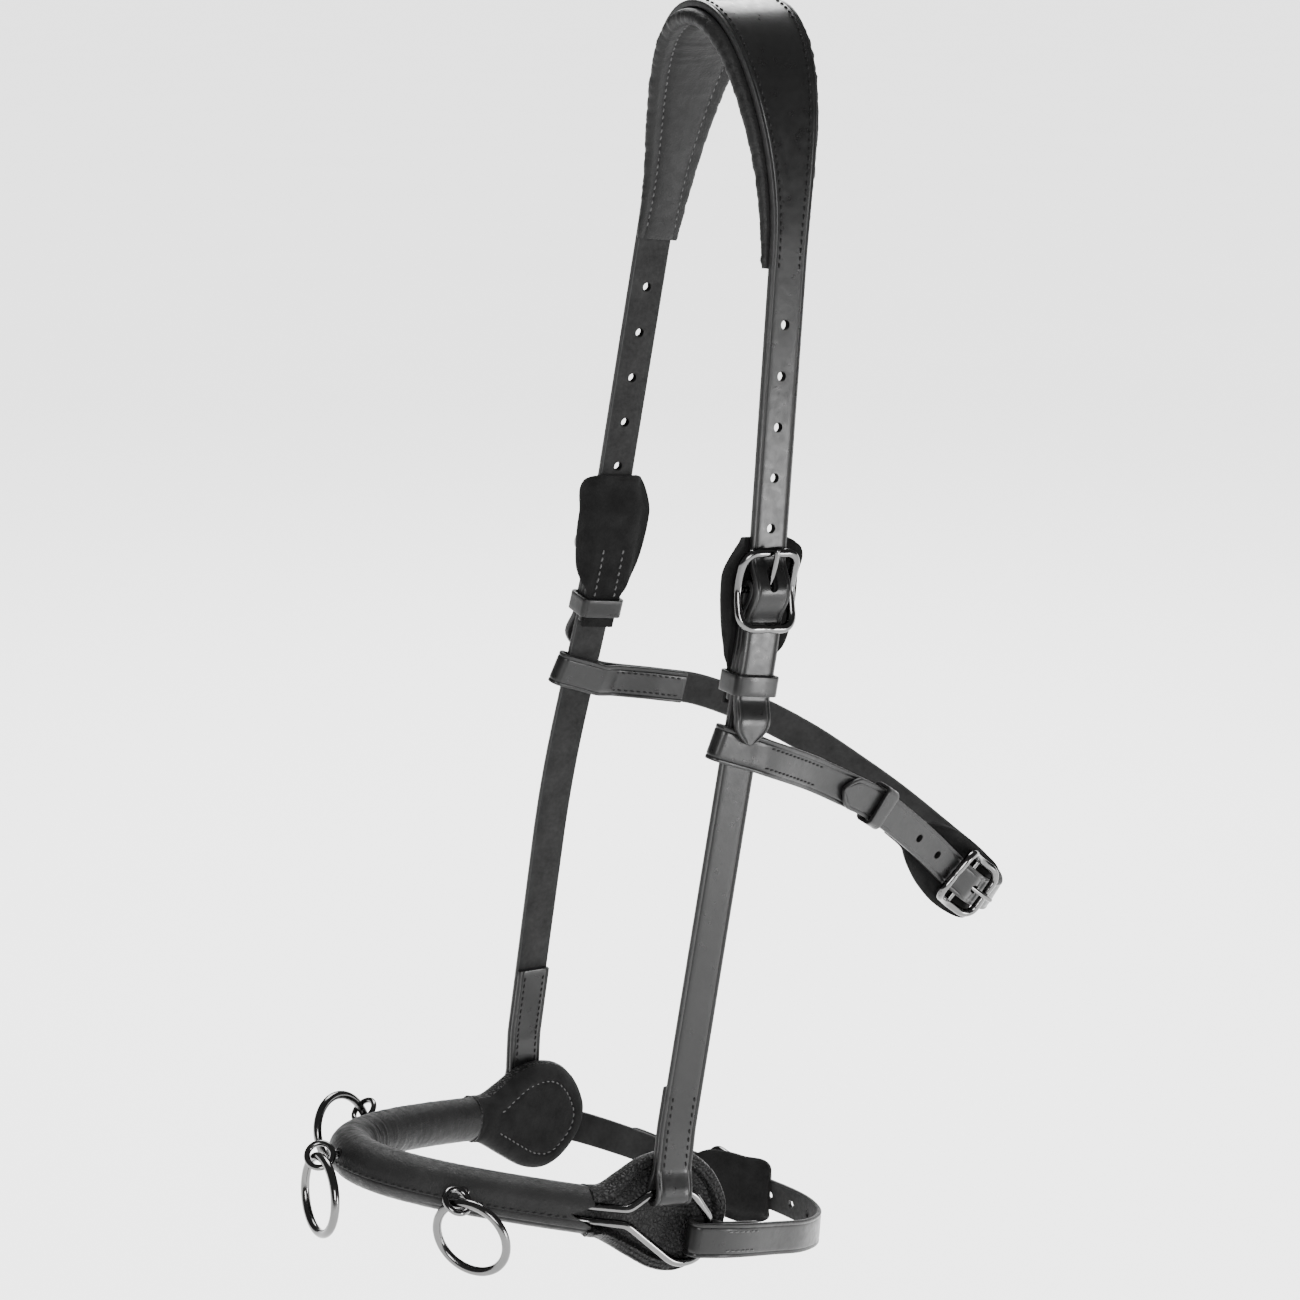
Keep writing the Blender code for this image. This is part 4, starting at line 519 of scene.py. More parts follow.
def flow(points, per_span=24):
    """A smooth curve through the points (centripetal Catmull-Rom)."""
    p = np.array(points, float)
    p = np.concatenate([[2 * p[0] - p[1]], p, [2 * p[-1] - p[-2]]])
    out = []
    for i in range(1, len(p) - 2):
        knots = [0.0]
        for j in range(i - 1, i + 2):
            knots.append(knots[-1] + np.linalg.norm(p[j + 1] - p[j]) ** 0.5)
        t0, t1, t2, t3 = knots
        t = np.linspace(t1, t2, per_span, endpoint=False)[:, None]

        def mix(start, end, a, b):
            return (end - t) / (end - start) * a + (t - start) / (end - start) * b

        a1, a2, a3 = (mix(knots[k], knots[k + 1], p[i + k - 1], p[i + k]) for k in range(3))
        out.append(mix(t1, t2, mix(t0, t2, a1, a2), mix(t1, t3, a2, a3)))
    return np.concatenate(out + [p[-2][None]])


def filleted(corners, radii, steps=6, closed=False):
    """A polyline with each corner rounded by an arc of its radius."""
    corners = [np.array(c, float) for c in corners]
    out = []
    for i, corner in enumerate(corners):
        if not closed and i in (0, len(corners) - 1):
            out.append(corner)
            continue
        u, v = (unit(corners[k] - corner) for k in (i - 1, (i + 1) % len(corners)))
        half = math.acos(max(-1.0, min(1.0, float(u @ v)))) / 2
        reach = radii[i] / math.tan(half)
        centre = corner + unit(u + v) * radii[i] / math.sin(half)
        start, end = corner + u * reach - centre, corner + v * reach - centre
        sweep_angle = math.pi - 2 * half
        for k in range(steps + 1):
            w = k / steps
            arc = math.sin((1 - w) * sweep_angle) * start + math.sin(w * sweep_angle) * end
            out.append(centre + arc / math.sin(sweep_angle))
    return np.array(out)


def box_corners(low_a, high_a, low_n, high_n):
    return [(low_a, low_n), (high_a, low_n), (high_a, high_n), (low_a, high_n)]


class Run:
    """A line that straps follow, with the direction across the strap and the outward one."""

    def __init__(self, points, hints):
        points = np.array(points, float)
        length = lengths(points)
        self.length = length[-1]
        self.s = np.linspace(0.0, self.length, int(self.length / FINE_STEP) + 2)
        self.points = read(self.s, length, points)
        hints = read(self.s, length, np.broadcast_to(np.array(hints, float), points.shape))
        self.along = unit(np.gradient(self.points, axis=0))
        self.out = unit(np.cross(self.along, hints))
        self.across = unit(np.cross(self.out, self.along))

    def point(self, s, a=0.0, n=0.0):
        """The point at run length s, a across and n outward; past an end it goes straight on."""
        s = np.asarray(s, float)
        over = np.maximum(s - self.length, 0.0) + np.minimum(s, 0.0)
        base, along, across, out = (read(s, self.s, rows) for rows in (
            self.points, self.along, self.across, self.out))
        a, n = np.asarray(a, float)[..., None], np.asarray(n, float)[..., None]
        return base + over[..., None] * along + a * across + n * out

    def frame(self, s):
        """The directions along, across and outward at run length s."""
        return tuple(unit(read(s, self.s, rows)) for rows in (self.along, self.across, self.out))

    def matrix(self, s):
        """Local X against across, Y along and Z outward at run length s."""
        along, across, out = (Vector(direction) for direction in self.frame(s))
        matrix = Matrix((-across, along, out)).transposed().to_4x4()
        matrix.translation = Vector(self.point(s))
        return matrix


class Profile:
    """A path over a run, in run length and height above the run."""

    def __init__(self, s, n):
        self.points = [(s, n)]

    def _go(self, count, place):
        self.points += [place(k) for k in range(1, count + 1)]
        return self

    def line(self, s, n):
        s0, n0 = self.points[-1]
        count = max(2, int(math.hypot(s - s0, n - n0) / FINE_STEP))
        return self._go(count, lambda k: (s0 + (s - s0) * k / count, n0 + (n - n0) * k / count))

    def ease(self, s, n):
        s0, n0 = self.points[-1]
        count = max(4, int(abs(s - s0) / FINE_STEP))

        def place(k):
            w = k / count
            return s0 + (s - s0) * w, n0 + (n - n0) * w * w * (3 - 2 * w)
        return self._go(count, place)

    def fold(self, s, n, radius, direction):
        """Half a turn round a bar; direction 1 goes over its far end, -1 over its near end."""
        start = direction * math.pi / 2
        count = max(6, int(math.pi * radius / FINE_STEP))

        def place(k):
            angle = start - math.pi * k / count
            return s + radius * math.cos(angle), n + radius * math.sin(angle)
        return self._go(count, place)

    def hump(self, s, rise, half):
        """Goes on to run length s over a rounded rise whose middle is half before s."""
        s0, n0 = self.points[-1]
        count = max(8, int((s - s0) / FINE_STEP))

        def place(k):
            p = s0 + (s - s0) * k / count
            return p, n0 + rise * math.cos(math.pi * (p - (s - half)) / (2 * half)) ** 2
        return self._go(count, place)


# Objects

def linked(name, data):
    item = bpy.data.objects.new(name, data)
    bpy.context.scene.collection.objects.link(item)
    return item


def smooth(item, degrees=40):
    item.data.shade_smooth()
    item.data.set_sharp_from_angle(angle=math.radians(degrees))
    return item


def add_piece(node, verts, faces, look, shares=None, slot=None, ending="_dressed"):
    """A mesh for a node. shares gives each face's place among the look's materials."""
    mesh = bpy.data.meshes.new(node + ending)
    mesh.from_pydata([tuple(v) for v in verts], [], [tuple(f) for f in faces])
    for material in LOOKS[look]:
        mesh.materials.append(material)
    if shares is not None:
        mesh.polygons.foreach_set("material_index", np.array(shares, dtype=np.int32))
    item = linked(node + ending, mesh)
    bm = bmesh.new()
    bm.from_mesh(mesh)
    bmesh.ops.remove_doubles(bm, verts=bm.verts, dist=WELD / 4)
    bmesh.ops.recalc_face_normals(bm, faces=bm.faces)
    bm.to_mesh(mesh)
    bm.free()
    slot or (look if look in SLOTS else LEATHER)
    return smooth(item)


def dressed(item, node):
    """The finished piece moves with its node's body and stands for the node."""
    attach(item, BODY_OF[node])
    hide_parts(node)
    return item


def applied(item):
    """The object with its modifiers made permanent."""
    bpy.context.view_layer.update()
    evaluated = item.evaluated_get(bpy.context.evaluated_depsgraph_get())
    mesh = bpy.data.meshes.new_from_object(evaluated)
    item.modifiers.clear()
    item.data = mesh
    return smooth(item)


def modified(item, kind, **settings):
    modifier = item.modifiers.new(kind.lower(), kind)
    for name, value in settings.items():
        setattr(modifier, name, value)


def helper(name, bm):
    """An object made from a bmesh, which is freed."""
    mesh = bpy.data.meshes.new(name)
    bm.to_mesh(mesh)
    bm.free()
    return linked(name, mesh)


def cut(item, name, bm):
    """Takes a solid out of a piece."""
    cutter = helper(name, bm)
    for material in item.data.materials:
        cutter.data.materials.append(material)
    modified(item, "BOOLEAN", object=cutter, operation="DIFFERENCE", solver="EXACT")
    item = applied(item)
    bpy.data.objects.remove(cutter, do_unlink=True)
    return item


def thickened(item, thickness, bevel=EDGE_BEVEL):
    """Gives a surface thickness, half to each side, with rounded edges."""
    modified(item, "SOLIDIFY", thickness=thickness, offset=0.0, use_even_offset=True)
    modified(item, "BEVEL", width=bevel, segments=BEVEL_SEGMENTS, limit_method="ANGLE",
             angle_limit=BEVEL_ANGLE)
    return applied(item)


def grid_faces(rows, columns, close_rows=False, close_columns=False):
    """Faces of a grid of points stored row by row."""
    faces = []
    for i in range(rows if close_rows else rows - 1):
        for j in range(columns if close_columns else columns - 1):
            k, m = (i + 1) % rows, (j + 1) % columns
            faces.append((i * columns + j, i * columns + m, k * columns + m, k * columns + j))
    return faces


def capped_faces(rows, columns):
    """Faces of a line of rings, closed at both ends."""
    last = (rows - 1) * columns
    ends = [tuple(range(columns)), tuple(range(last, last + columns))]
    return grid_faces(rows, columns, close_columns=True) + ends


def stations(points, normals, keep):
    """Places along a dense path: close where it turns, far apart where it runs straight."""
    chosen = [0]
    i = 0
    while i < len(points) - 1:
        j = i + 1
        while j + 1 < len(points) and j not in keep:
            chord = points[j + 1] - points[i]
            size = np.linalg.norm(chord)
            between = points[i + 1:j + 1] - points[i]
            error = np.linalg.norm(np.cross(between, chord / max(size, WELD)), axis=1).max()
            turned = float(normals[j + 1] @ normals[i])
            if error > CHORD_ERROR or size > LONGEST_STEP or turned < math.cos(TURN_STEP):
                break
            j += 1
        chosen.append(j)
        i = j
    return chosen


def strap_section(half, thickness):
    """A strap's section from the middle of the grain face round one edge and back by the other:
    points across and out, and each one's material place. It has a pressed crease at each edge."""
    q = thickness / 2
    r = min(EDGE_ROUND, q * EDGE_ROUND_SHARE)
    inset = min(CREASE_INSET, half * INSET_SHARE)
    w = min(CREASE_HALF_WIDTH, inset * CREASE_SHARE)
    depth = CREASE_DEPTH * min(1.0, half / (3 * CREASE_INSET))
    side = [(0.0, q, 0), (half * 0.5, q, 0)]
    side += [(half - inset + k * w, q - depth * share, 0)
             for k, share in CREASE_SHARES]
    for first, middle in ((90, q - r), (0, r - q)):
        for k in range(EDGE_POINTS):
            angle = math.radians(first - EDGE_ANGLE * k)
            side.append((half - r + r * math.cos(angle), middle + r * math.sin(angle), 1))
    side[-1] = (*side[-1][:2], 2)
    side.append((half * 0.5, -q, 2))
    across = [(a, n) for a, n, _ in side] + [(0.0, -q)] + [(-a, n) for a, n, _ in side[:0:-1]]
    places = [p for _, _, p in side] + [2] + [p for _, _, p in side[-2:0:-1]] + [0]
    return np.array(across), places


def lay_strap(name, run, profile, width, thickness, tip_start=0.0, tip_end=0.0):
    """A dressed strap along a profile over a run. width is a number or a function."""
    s, n = np.array(profile.points).T
    points = run.point(s, 0.0 * s, n)
    length = lengths(points)
    fresh = np.concatenate([[True], np.diff(length) > WELD])
    points, s, length = points[fresh], s[fresh], length[fresh]
    along = unit(np.gradient(points, axis=0))
    across = run.frame(s)[1]
    across = unit(across - (across * along).sum(1)[:, None] * along)
    normals = np.cross(along, across)
    widths = np.array([width(v) for v in s]) if callable(width) else np.full(len(s), width)
    total = length[-1]
    keep = {int(np.argmin(abs(length - at))) for at in (END_ROUND, total - END_ROUND)}
    for tip, distance in ((tip_start, length), (tip_end, total - length)):
        if tip:
            point = 1 - np.clip(distance / tip, 0.0, 1.0)
            widths = widths * (1 - point ** TIP_POWER * TIP_NARROWING)
            keep |= {int(np.argmin(abs(distance - tip * k / TIP_STEPS)))
                     for k in range(TIP_STEPS + 1)}
    chosen = stations(points, normals, keep)
    verts = []
    for i in chosen:
        half, thick = widths[i] / 2, thickness
        if i in (chosen[0], chosen[-1]):
            half, thick = max(half - END_ROUND, half / 2), thickness - END_ROUND
        section, places = strap_section(half, thick)
        verts.append(points[i] + section[:, :1] * across[i] + section[:, 1:] * normals[i])
    return add_piece(name, np.concatenate(verts), capped_faces(len(chosen), len(places)),
                     LEATHER, places * (len(chosen) - 1) + [1, 1])


def hole(at, half, used=False, rise=0.0):
    """A punched hole; the used one is long and goes through the strap's hump too."""
    length = USED_HOLE_LENGTH if used else 2 * HOLE_RADIUS
    return at, HOLE_RADIUS, length, -half, half + rise * used


def slot_hole(at, bar, reach):
    """The prong's slot in the fold round a bar."""
    return at, SLOT_WIDTH / 2, SLOT_LENGTH, bar - reach, bar + reach


def punch(item, node, run, holes):
    """Round or long holes through a strap: (run length, radius, length, lowest, highest)."""
    bm = bmesh.new()
    for s, radius, length, low, high in holes:
        place = run.matrix(s)
        made = bmesh.ops.create_cone(bm, cap_ends=True, segments=HOLE_SIDES, radius1=radius,
                                     radius2=radius, depth=high - low + 2 * CUT_OVERRUN)
        stretch = max(0.0, length / 2 - radius)
        for vert in made["verts"]:
            vert.co.y += math.copysign(stretch, vert.co.y) if abs(vert.co.y) > WELD else 0.0
            vert.co.z += (high + low) / 2
            vert.co = place @ vert.co
    for face in bm.faces:
        face.material_index = 1
    return dressed(cut(item, item.name + "_tool", bm), node)


def sweep(points, radii, sides, closed=False):
    """Rings round a line: vertices and faces. radii is a number or one for each point."""
    points = np.array([tuple(p) for p in points], float)
    radii = np.broadcast_to(np.array(radii, float), (len(points),))
    if closed:
        along = unit(np.roll(points, -1, axis=0) - np.roll(points, 1, axis=0))
    else:
        along = unit(np.gradient(points, axis=0))
    guide = np.eye(3)[int(np.argmin(abs(along[0])))]
    normals = [unit(guide - (guide @ along[0]) * along[0])]
    for t in along[1:]:
        before = normals[-1]
        normals.append(unit(before - (before @ t) * t))
    normals = np.array(normals)
    if closed:
        last = normals[-1] - (normals[-1] @ along[0]) * along[0]
        twist = math.atan2(float(np.cross(last, normals[0]) @ along[0]), float(last @ normals[0]))
        turn = np.linspace(0.0, twist, len(points), endpoint=False)[:, None]
        normals = normals * np.cos(turn) + np.cross(along, normals) * np.sin(turn)
    sideways = np.cross(along, normals)
    angles = 2 * math.pi * np.arange(sides) / sides
    rings = (points[:, None] + radii[:, None, None]
             * (np.cos(angles)[None, :, None] * normals[:, None]
                + np.sin(angles)[None, :, None] * sideways[:, None]))
    faces = (grid_faces(len(points), sides, True, True) if closed
             else capped_faces(len(points), sides))
    return rings.reshape(-1, 3), faces


def joined(parts):
    """One list of vertices and faces from several."""
    verts, faces = [], []
    for part_verts, part_faces in parts:
        start = sum(len(v) for v in verts)
        verts.append(np.array(part_verts))
        faces += [tuple(start + k for k in face) for face in part_faces]
    return np.concatenate(verts), faces


def rounded_rod(points, radius, sides=ROD_SIDES):
    """A rod with rounded ends along a line of points."""
    points = np.array([tuple(p) for p in points], float)
    length = lengths(points)
    ends = [radius * (1 - math.cos(math.radians(t))) for t in ROD_END_ANGLES]
    at = np.unique(np.concatenate([ends, length[(length > radius) & (length < length[-1] - radius)],
                                   [length[-1] - e for e in ends]]))
    gap = np.minimum(np.minimum(at, length[-1] - at), radius)
    radii = np.sqrt(np.maximum(radius ** 2 - (radius - gap) ** 2, 0.0))
    return sweep(read(at, length, points), np.maximum(radii, radius * ROD_END_SHARE), sides)


def steel_piece(name, *parts):
    return dressed(add_piece(name, *joined(parts), STEEL), name)


def stitches(node, run, rows, look=THREAD, ending="_stitches"):
    """Rows of saddle stitches on a node: (start, end, place), where place(s) gives how far across
    and out of the run the row lies at run length s, and which way its face looks."""
    parts = []
    for start, end, place in rows:
        count = max(1, int(abs(end - start) / STITCH_PITCH))
        for k in range(count):
            s = start + (end - start) * (k + 0.5) / count
            a, n, face = place(s)
            middle = run.point(s, a, n)
            along, across, out = run.frame(s)
            out = out * face
            along = unit(along + STITCH_SLANT * across)
            side = np.cross(along, out)
            verts = []
            for t, size, drop in STITCH_RINGS:
                centre = (middle + along * t * STITCH_LENGTH / 2
                          + out * (STITCH_RADIUS * drop - STITCH_SINK + STITCH_RADIUS / 2))
                for j in range(THREAD_SIDES):
                    angle = 2 * math.pi * j / THREAD_SIDES
                    verts.append(centre + STITCH_RADIUS * size * (math.cos(angle) * side
                                                                  + math.sin(angle) * out))
            parts.append((verts, capped_faces(len(STITCH_RINGS), THREAD_SIDES)))
    item = add_piece(node, *joined(parts), look, ending=ending)
    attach(item, BODY_OF[node])


def straight_row(start, end, a, n, face=1):
    return start, end, lambda s: (a, n, face)


def make_strap(name, run, path, size, holes, spans, layers, look=THREAD, **tips):
    """A punched strap, sewn through its folds: spans are the seams' stretches along the run,
    and layers the heights of the outer and the inner layer."""
    width, thickness = size
    punch(lay_strap(name, run, path, width, thickness, **tips), name, run, holes)
    a, half = width / 2 - STITCH_INSET, thickness / 2
    faces = ((layers[0] + half, 1), (layers[1] - half, -1))
    stitches(name, run, [straight_row(*span, side, *face) for span in spans
                         for side in (-a, a) for face in faces], look)


def band(name, run, s, opening, height):
    """A keeper: a leather band round an opening (across low, high, out low, high)."""
    a0, a1, n0, n1 = opening
    half = KEEPER_THICKNESS / 2
    path = filleted(box_corners(a0 - half, a1 + half, n0 - half, n1 + half),
                    [KEEPER_THICKNESS * KEEPER_CORNER] * 4, steps=8, closed=True)
    spots = []
    middle, reach = (a0 + a1) / 2, (a1 - a0) / 2
    for a, n in path:
        if n > (n0 + n1) / 2:
            n += KEEPER_BULGE * max(0.0, 1 - ((a - middle) / reach) ** 2)
        spots += [run.point(s + height * (k / (KEEPER_COLUMNS - 1) - 0.5), a, n)
                  for k in range(KEEPER_COLUMNS)]
    faces = grid_faces(len(path), KEEPER_COLUMNS, close_rows=True)
    item = add_piece(name, spots, faces, LEATHER)
    dressed(thickened(item, KEEPER_THICKNESS), name)


def guard_flap(a, strap_width):
    """How far out of its plane a guard is at a across: 0 behind the strap, 1 at its sides."""
    start = strap_width / 2 + GUARD_FLAP_PLAY
    share = min(1.0, max(0.0, (abs(a) - start) / GUARD_FLAP_EASE))
    return share * share * (3 - 2 * share)


def guard(name, run, centre, size, strap, bar, height, direction):
    """A safe behind a buckle with a stitched border; its sides bend out towards the frame."""
    (top, tail, width), (strap_width, strap_top) = size, strap
    upper = -(strap_top + GUARD_GAP + GUARD_THICKNESS / 2)
    lift = min(GUARD_FLAP_LIFT, bar - FRAME_RADIUS - GAP - GUARD_THICKNESS / 2 - height)
    start, end = centre - direction * top, centre + direction * tail
    outline = flow([(*share, 0.0) for share in GUARD_SHARES], GUARD_SPAN)[:, :2]
    path = Profile(start, upper).line(centre - direction * GUARD_RISE_TO, upper)
    path.ease(centre - direction * GUARD_RISE_FROM, height).line(end, height)
    places = np.array(sorted(path.points, key=lambda point: point[0]))

    def place(s, a):
        n = np.interp(s, places[:, 0], places[:, 1])
        return n + lift * guard_flap(a, strap_width)

    verts = []
    for i in range(GUARD_ROWS):
        s = start + (end - start) * (0.5 - 0.5 * math.cos(math.pi * i / (GUARD_ROWS - 1)))
        share = (s - start) / (end - start)
        half = width / 2 * np.interp(share, outline[:, 0], outline[:, 1])
        for j in range(GUARD_COLUMNS):
            a = half * math.sin(math.pi / 2 * (2 * j / (GUARD_COLUMNS - 1) - 1))
            verts.append(run.point(s, a, place(s, a)))
    item = add_piece(name, verts, grid_faces(GUARD_ROWS, GUARD_COLUMNS), SUEDE)
    dressed(thickened(item, GUARD_THICKNESS, GUARD_BEVEL), name)
    seams = []
    for side in (-1, 1):
        a = side * (strap_width / 2 - STITCH_INSET)
        seams.append((centre + direction * FOLD_EASE, end - direction * GUARD_SEAM_END,
                      lambda s, a=a: (a, place(s, a) - GUARD_THICKNESS / 2, -1)))
    stitches(name, run, seams, PALE_THREAD)


def buckle(name, run, centre, bar, frame):
    """A whole buckle: rounded frame with arched sides, a notch for the prong, a straight bar."""
    half_w, half_h = BUCKLE_WIDTH / 2 - FRAME_RADIUS, BUCKLE_HEIGHT / 2 - FRAME_RADIUS
    flat = filleted(box_corners(-half_w, half_w, -half_h, half_h),
                    [FRAME_CORNER - FRAME_RADIUS] * 4, steps=FRAME_CORNER_STEPS, closed=True)
    spots, radii = [], []
    for (a0, t0), (a1, t1) in zip(flat, np.roll(flat, -1, axis=0)):
        steps = int(math.hypot(a1 - a0, t1 - t0) / FRAME_STEP) + 1
        for k in range(steps):
            a, t = a0 + (a1 - a0) * k / steps, t0 + (t1 - t0) * k / steps
            arch = min(1.0, abs(t) / half_h) ** FRAME_ARCH
            spots.append(run.point(centre + t, a, bar + (frame - bar) * arch))
            worn = abs(t) > half_h * FRAME_END_SHARE
            notch = worn * NOTCH_DEPTH * bell(a, 0.0, NOTCH_WIDTH)
            ridge = worn * RIDGE_HEIGHT * bell(abs(a), RIDGE_AT, RIDGE_WIDTH)
            radii.append(FRAME_RADIUS * (1 - notch + ridge))
    ends = [run.point(centre, a, bar) for a in np.linspace(-half_w, half_w, 8)]
    steel_piece(name, sweep(spots, radii, ROD_SIDES, True), sweep(ends, BAR_RADIUS, ROD_SIDES))


def prong(name, run, centre, bar, frame, direction):
    """A wire tongue hooked round the bar, lying on the frame. direction is -1 up the run."""
    hook = BAR_RADIUS + BAR_PLAY + PRONG_RADIUS
    angles = [HOOK_START - HOOK_TURN * k / HOOK_STEPS for k in range(HOOK_STEPS + 1)]
    places = [(hook * math.cos(angle), hook * math.sin(angle)) for angle in angles]
    rest = frame - bar + FRAME_RADIUS + PRONG_RADIUS + GAP
    end_bar = BUCKLE_HEIGHT / 2 - FRAME_RADIUS
    (rise_at, rise), (crest_at, crest) = TONGUE_RISE, TONGUE_CREST
    tongue = [places[-1], (end_bar * rise_at, hook + (rest - hook) * rise),
              (end_bar * crest_at, rest * crest), (end_bar, rest),
              (end_bar + FRAME_RADIUS * TONGUE_END, rest)]
    places += [tuple(p) for p in flow([(*p, 0.0) for p in tongue], 8)[1:, :2]]
    spots = [run.point(centre + direction * t, 0.0, bar + n) for t, n in places]
    steel_piece(name, rounded_rod(spots, PRONG_RADIUS))


def fit_buckle(head, tail, run, at, direction, heights, strap, under, size, keeper):
    """A buckle with its prong and guard, and the keeper beside it. direction is 1 where the
    strap's folded end lies further down the run; strap is the width and top of the strap that
    the buckle holds, under the lowest leather, and keeper its place, height and lowest point,
    or none where the keeper goes round the guard."""
    bar, frame = heights
    half, top = strap[0] / 2 + KEEPER_PLAY, strap[1] + KEEPER_PLAY
    buckle(head + "_buckle" + tail, run, at, bar, frame)
    prong(head + "_prong" + tail, run, at, bar, frame, -direction)
    height = under - GUARD_GAP - GUARD_THICKNESS / 2
    guard(head + "_guard" + tail, run, at, size, strap, bar, height, direction)
    keeper_at, keeper_height, *low = keeper
    low = (low[0] if low else height - GUARD_THICKNESS / 2) - KEEPER_PLAY
    band(head + "_keeper" + tail, run, keeper_at, (-half, half, low, top), keeper_height)


# Lines that the straps follow

BILLET_TOP = BILLET_THICKNESS / 2
CHEEK_OUTER = -(BILLET_TOP + GAP + CHEEK_THICKNESS / 2)
CHEEK_INNER = CHEEK_OUTER - CHEEK_THICKNESS - GAP
CHEEK_MIDDLE = (CHEEK_OUTER + CHEEK_INNER) / 2
CROWN_TOP = LINING_DEPTH + BILLET_THICKNESS / 2 + LINING_GAP

NOSE_MATRIX = (Matrix.Translation(NOSE_PLACE) @ Matrix.Rotation(NOSE_YAW, 4, "Z")
               @ Matrix.Rotation(NOSE_ROLL, 4, "X") @ Matrix.Rotation(NOSE_PITCH, 4, "Y"))


def nose_side(x, y, z, side):
    """A point of one side in the noseband's own frame; the far side is splayed to the rear."""
    if side < 0:
        return Vector((x, -y, z))
    x0, y0 = SPLAY_CENTRE
    x, y = x - x0, y - y0
    cos, sin = math.cos(FAR_SPLAY), math.sin(FAR_SPLAY)
    return Vector((x0 + x * cos - y * sin, y0 + x * sin + y * cos, z))


def nose_turn(x, y, z, side):
    """A direction of one side, y pointing away from the head, in part space."""
    turned = nose_side(x, y, z, side) - nose_side(0.0, 0.0, 0.0, side)
    return np.array(NOSE_MATRIX.to_3x3() @ turned)


WIRE_CORNERS = np.array(((14.0, 3.4), (23.5, 10.6), (45.0, 12.5), (56.5, 0.0), (54.5, -18.0),
                         (43.5, -22.5), (14.0, -3.4))) * MM
WIRE_FILLETS = np.array((5.0, 6.0, 9.0, 5.0, 6.0, 13.0, 8.0)) * MM
CHEEK_LOOP_SHARE = 0.45
CHIN_LOOP_SHARE = 0.5


def on_wire(first, second, share, side):
    """A point on the straight stretch between two corners of a wire loop, in part space."""
    (x0, z0), (x1, z1) = WIRE_CORNERS[first], WIRE_CORNERS[second]
    place = nose_side(x0 + (x1 - x0) * share, WIRE_OUT, z0 + (z1 - z0) * share, side)
    return np.array(NOSE_MATRIX @ place)


def head_points(side):
    """From the poll down one side to the wire loop, flat against the pad at the end."""
    lean = (BEND_LEAN - PAD_LEAN) / (BEND_DROP - PAD_DROP)
    bend_spread = NEAR_BEND_SPREAD if side < 0 else FAR_BEND_SPREAD
    spread = (bend_spread - PAD_SPREAD) / (BEND_DROP - PAD_DROP)
    pad = (PAD_LEAN, side * PAD_SPREAD, CROWN_TOP - PAD_DROP)
    crown = bezier((0.0, 0.0, CROWN_TOP), (0.0, side * CROWN_REACH, CROWN_TOP),
                   (PAD_LEAN - lean * CROWN_SHOULDER,
                    side * (PAD_SPREAD - spread * CROWN_SHOULDER), pad[2] + CROWN_SHOULDER),
                   pad, CROWN_POINTS)
    bend = np.array((BEND_LEAN, side * bend_spread, CROWN_TOP - BEND_DROP))
    away = nose_turn(0.0, 1.0, 0.0, side)
    end = on_wire(1, 2, CHEEK_LOOP_SHARE, side) - away * CHEEK_MIDDLE
    up = bend - end
    knee = end + unit(up - (up @ away) * away) * KNEE_LENGTH
    corners, radii = [pad, bend, knee, end], [0.0, BEND_RADIUS, KNEE_RADIUS, 0.0]
    if side > 0:
        corners.insert(2, bend + FAR_BOW_SHARE * (knee - bend) + np.array(FAR_CHEEK_BOW))
        radii.insert(2, BOW_RADIUS)
    return np.concatenate([crown[:-1], filleted(corners, radii, 8)])


def side_run(side):
    """Its strap lies square to the head above and along the wire loop at the end."""
    points = head_points(side)
    length = lengths(points)
    share = np.clip((length - TWIST_FROM) / (length[-1] - TWIST_FROM), 0.0, 1.0)[:, None]
    level = np.array((-side * 1.0, 0.0, 0.0))
    return Run(points, level + share * (-side * nose_turn(1.0, 0.0, 0.0, side) - level))


NEAR_RUN, FAR_RUN = side_run(-1), side_run(1)
FULL_RUN = Run(np.concatenate([head_points(-1)[::-1], head_points(1)[1:]]), (-1.0, 0.0, 0.0))
BUCKLE_AT = FIRST_HOLE + USED_HOLE * HOLE_PITCH + USED_HOLE_TO_BAR
MIDDLE = NEAR_RUN.length


# Head pieces

CHEEK_WRAP = BAR_RADIUS + BAR_PLAY + CHEEK_THICKNESS
CHEEK_BAR = BILLET_TOP - BAR_UNDER_TOP
BILLET_RISE = CHEEK_BAR + CHEEK_WRAP + GAP + HUMP_EASE - (BILLET_TOP - BILLET_THICKNESS)
CHEEK_FRAME = BILLET_TOP + GAP + FRAME_RADIUS
TIP_LIFT = JOWL_THICKNESS + JOWL_LOOP_PLAY + GAP
LINING_TOP = -(BILLET_TOP + LINING_GAP)


def crown_width(s):
    share = min(1.0, abs(s - MIDDLE) / CROWN_TAPER)
    return BILLET_WIDTH + (CROWN_WIDTH - BILLET_WIDTH) * (1 - share * share) ** CROWN_TAPER_POWER


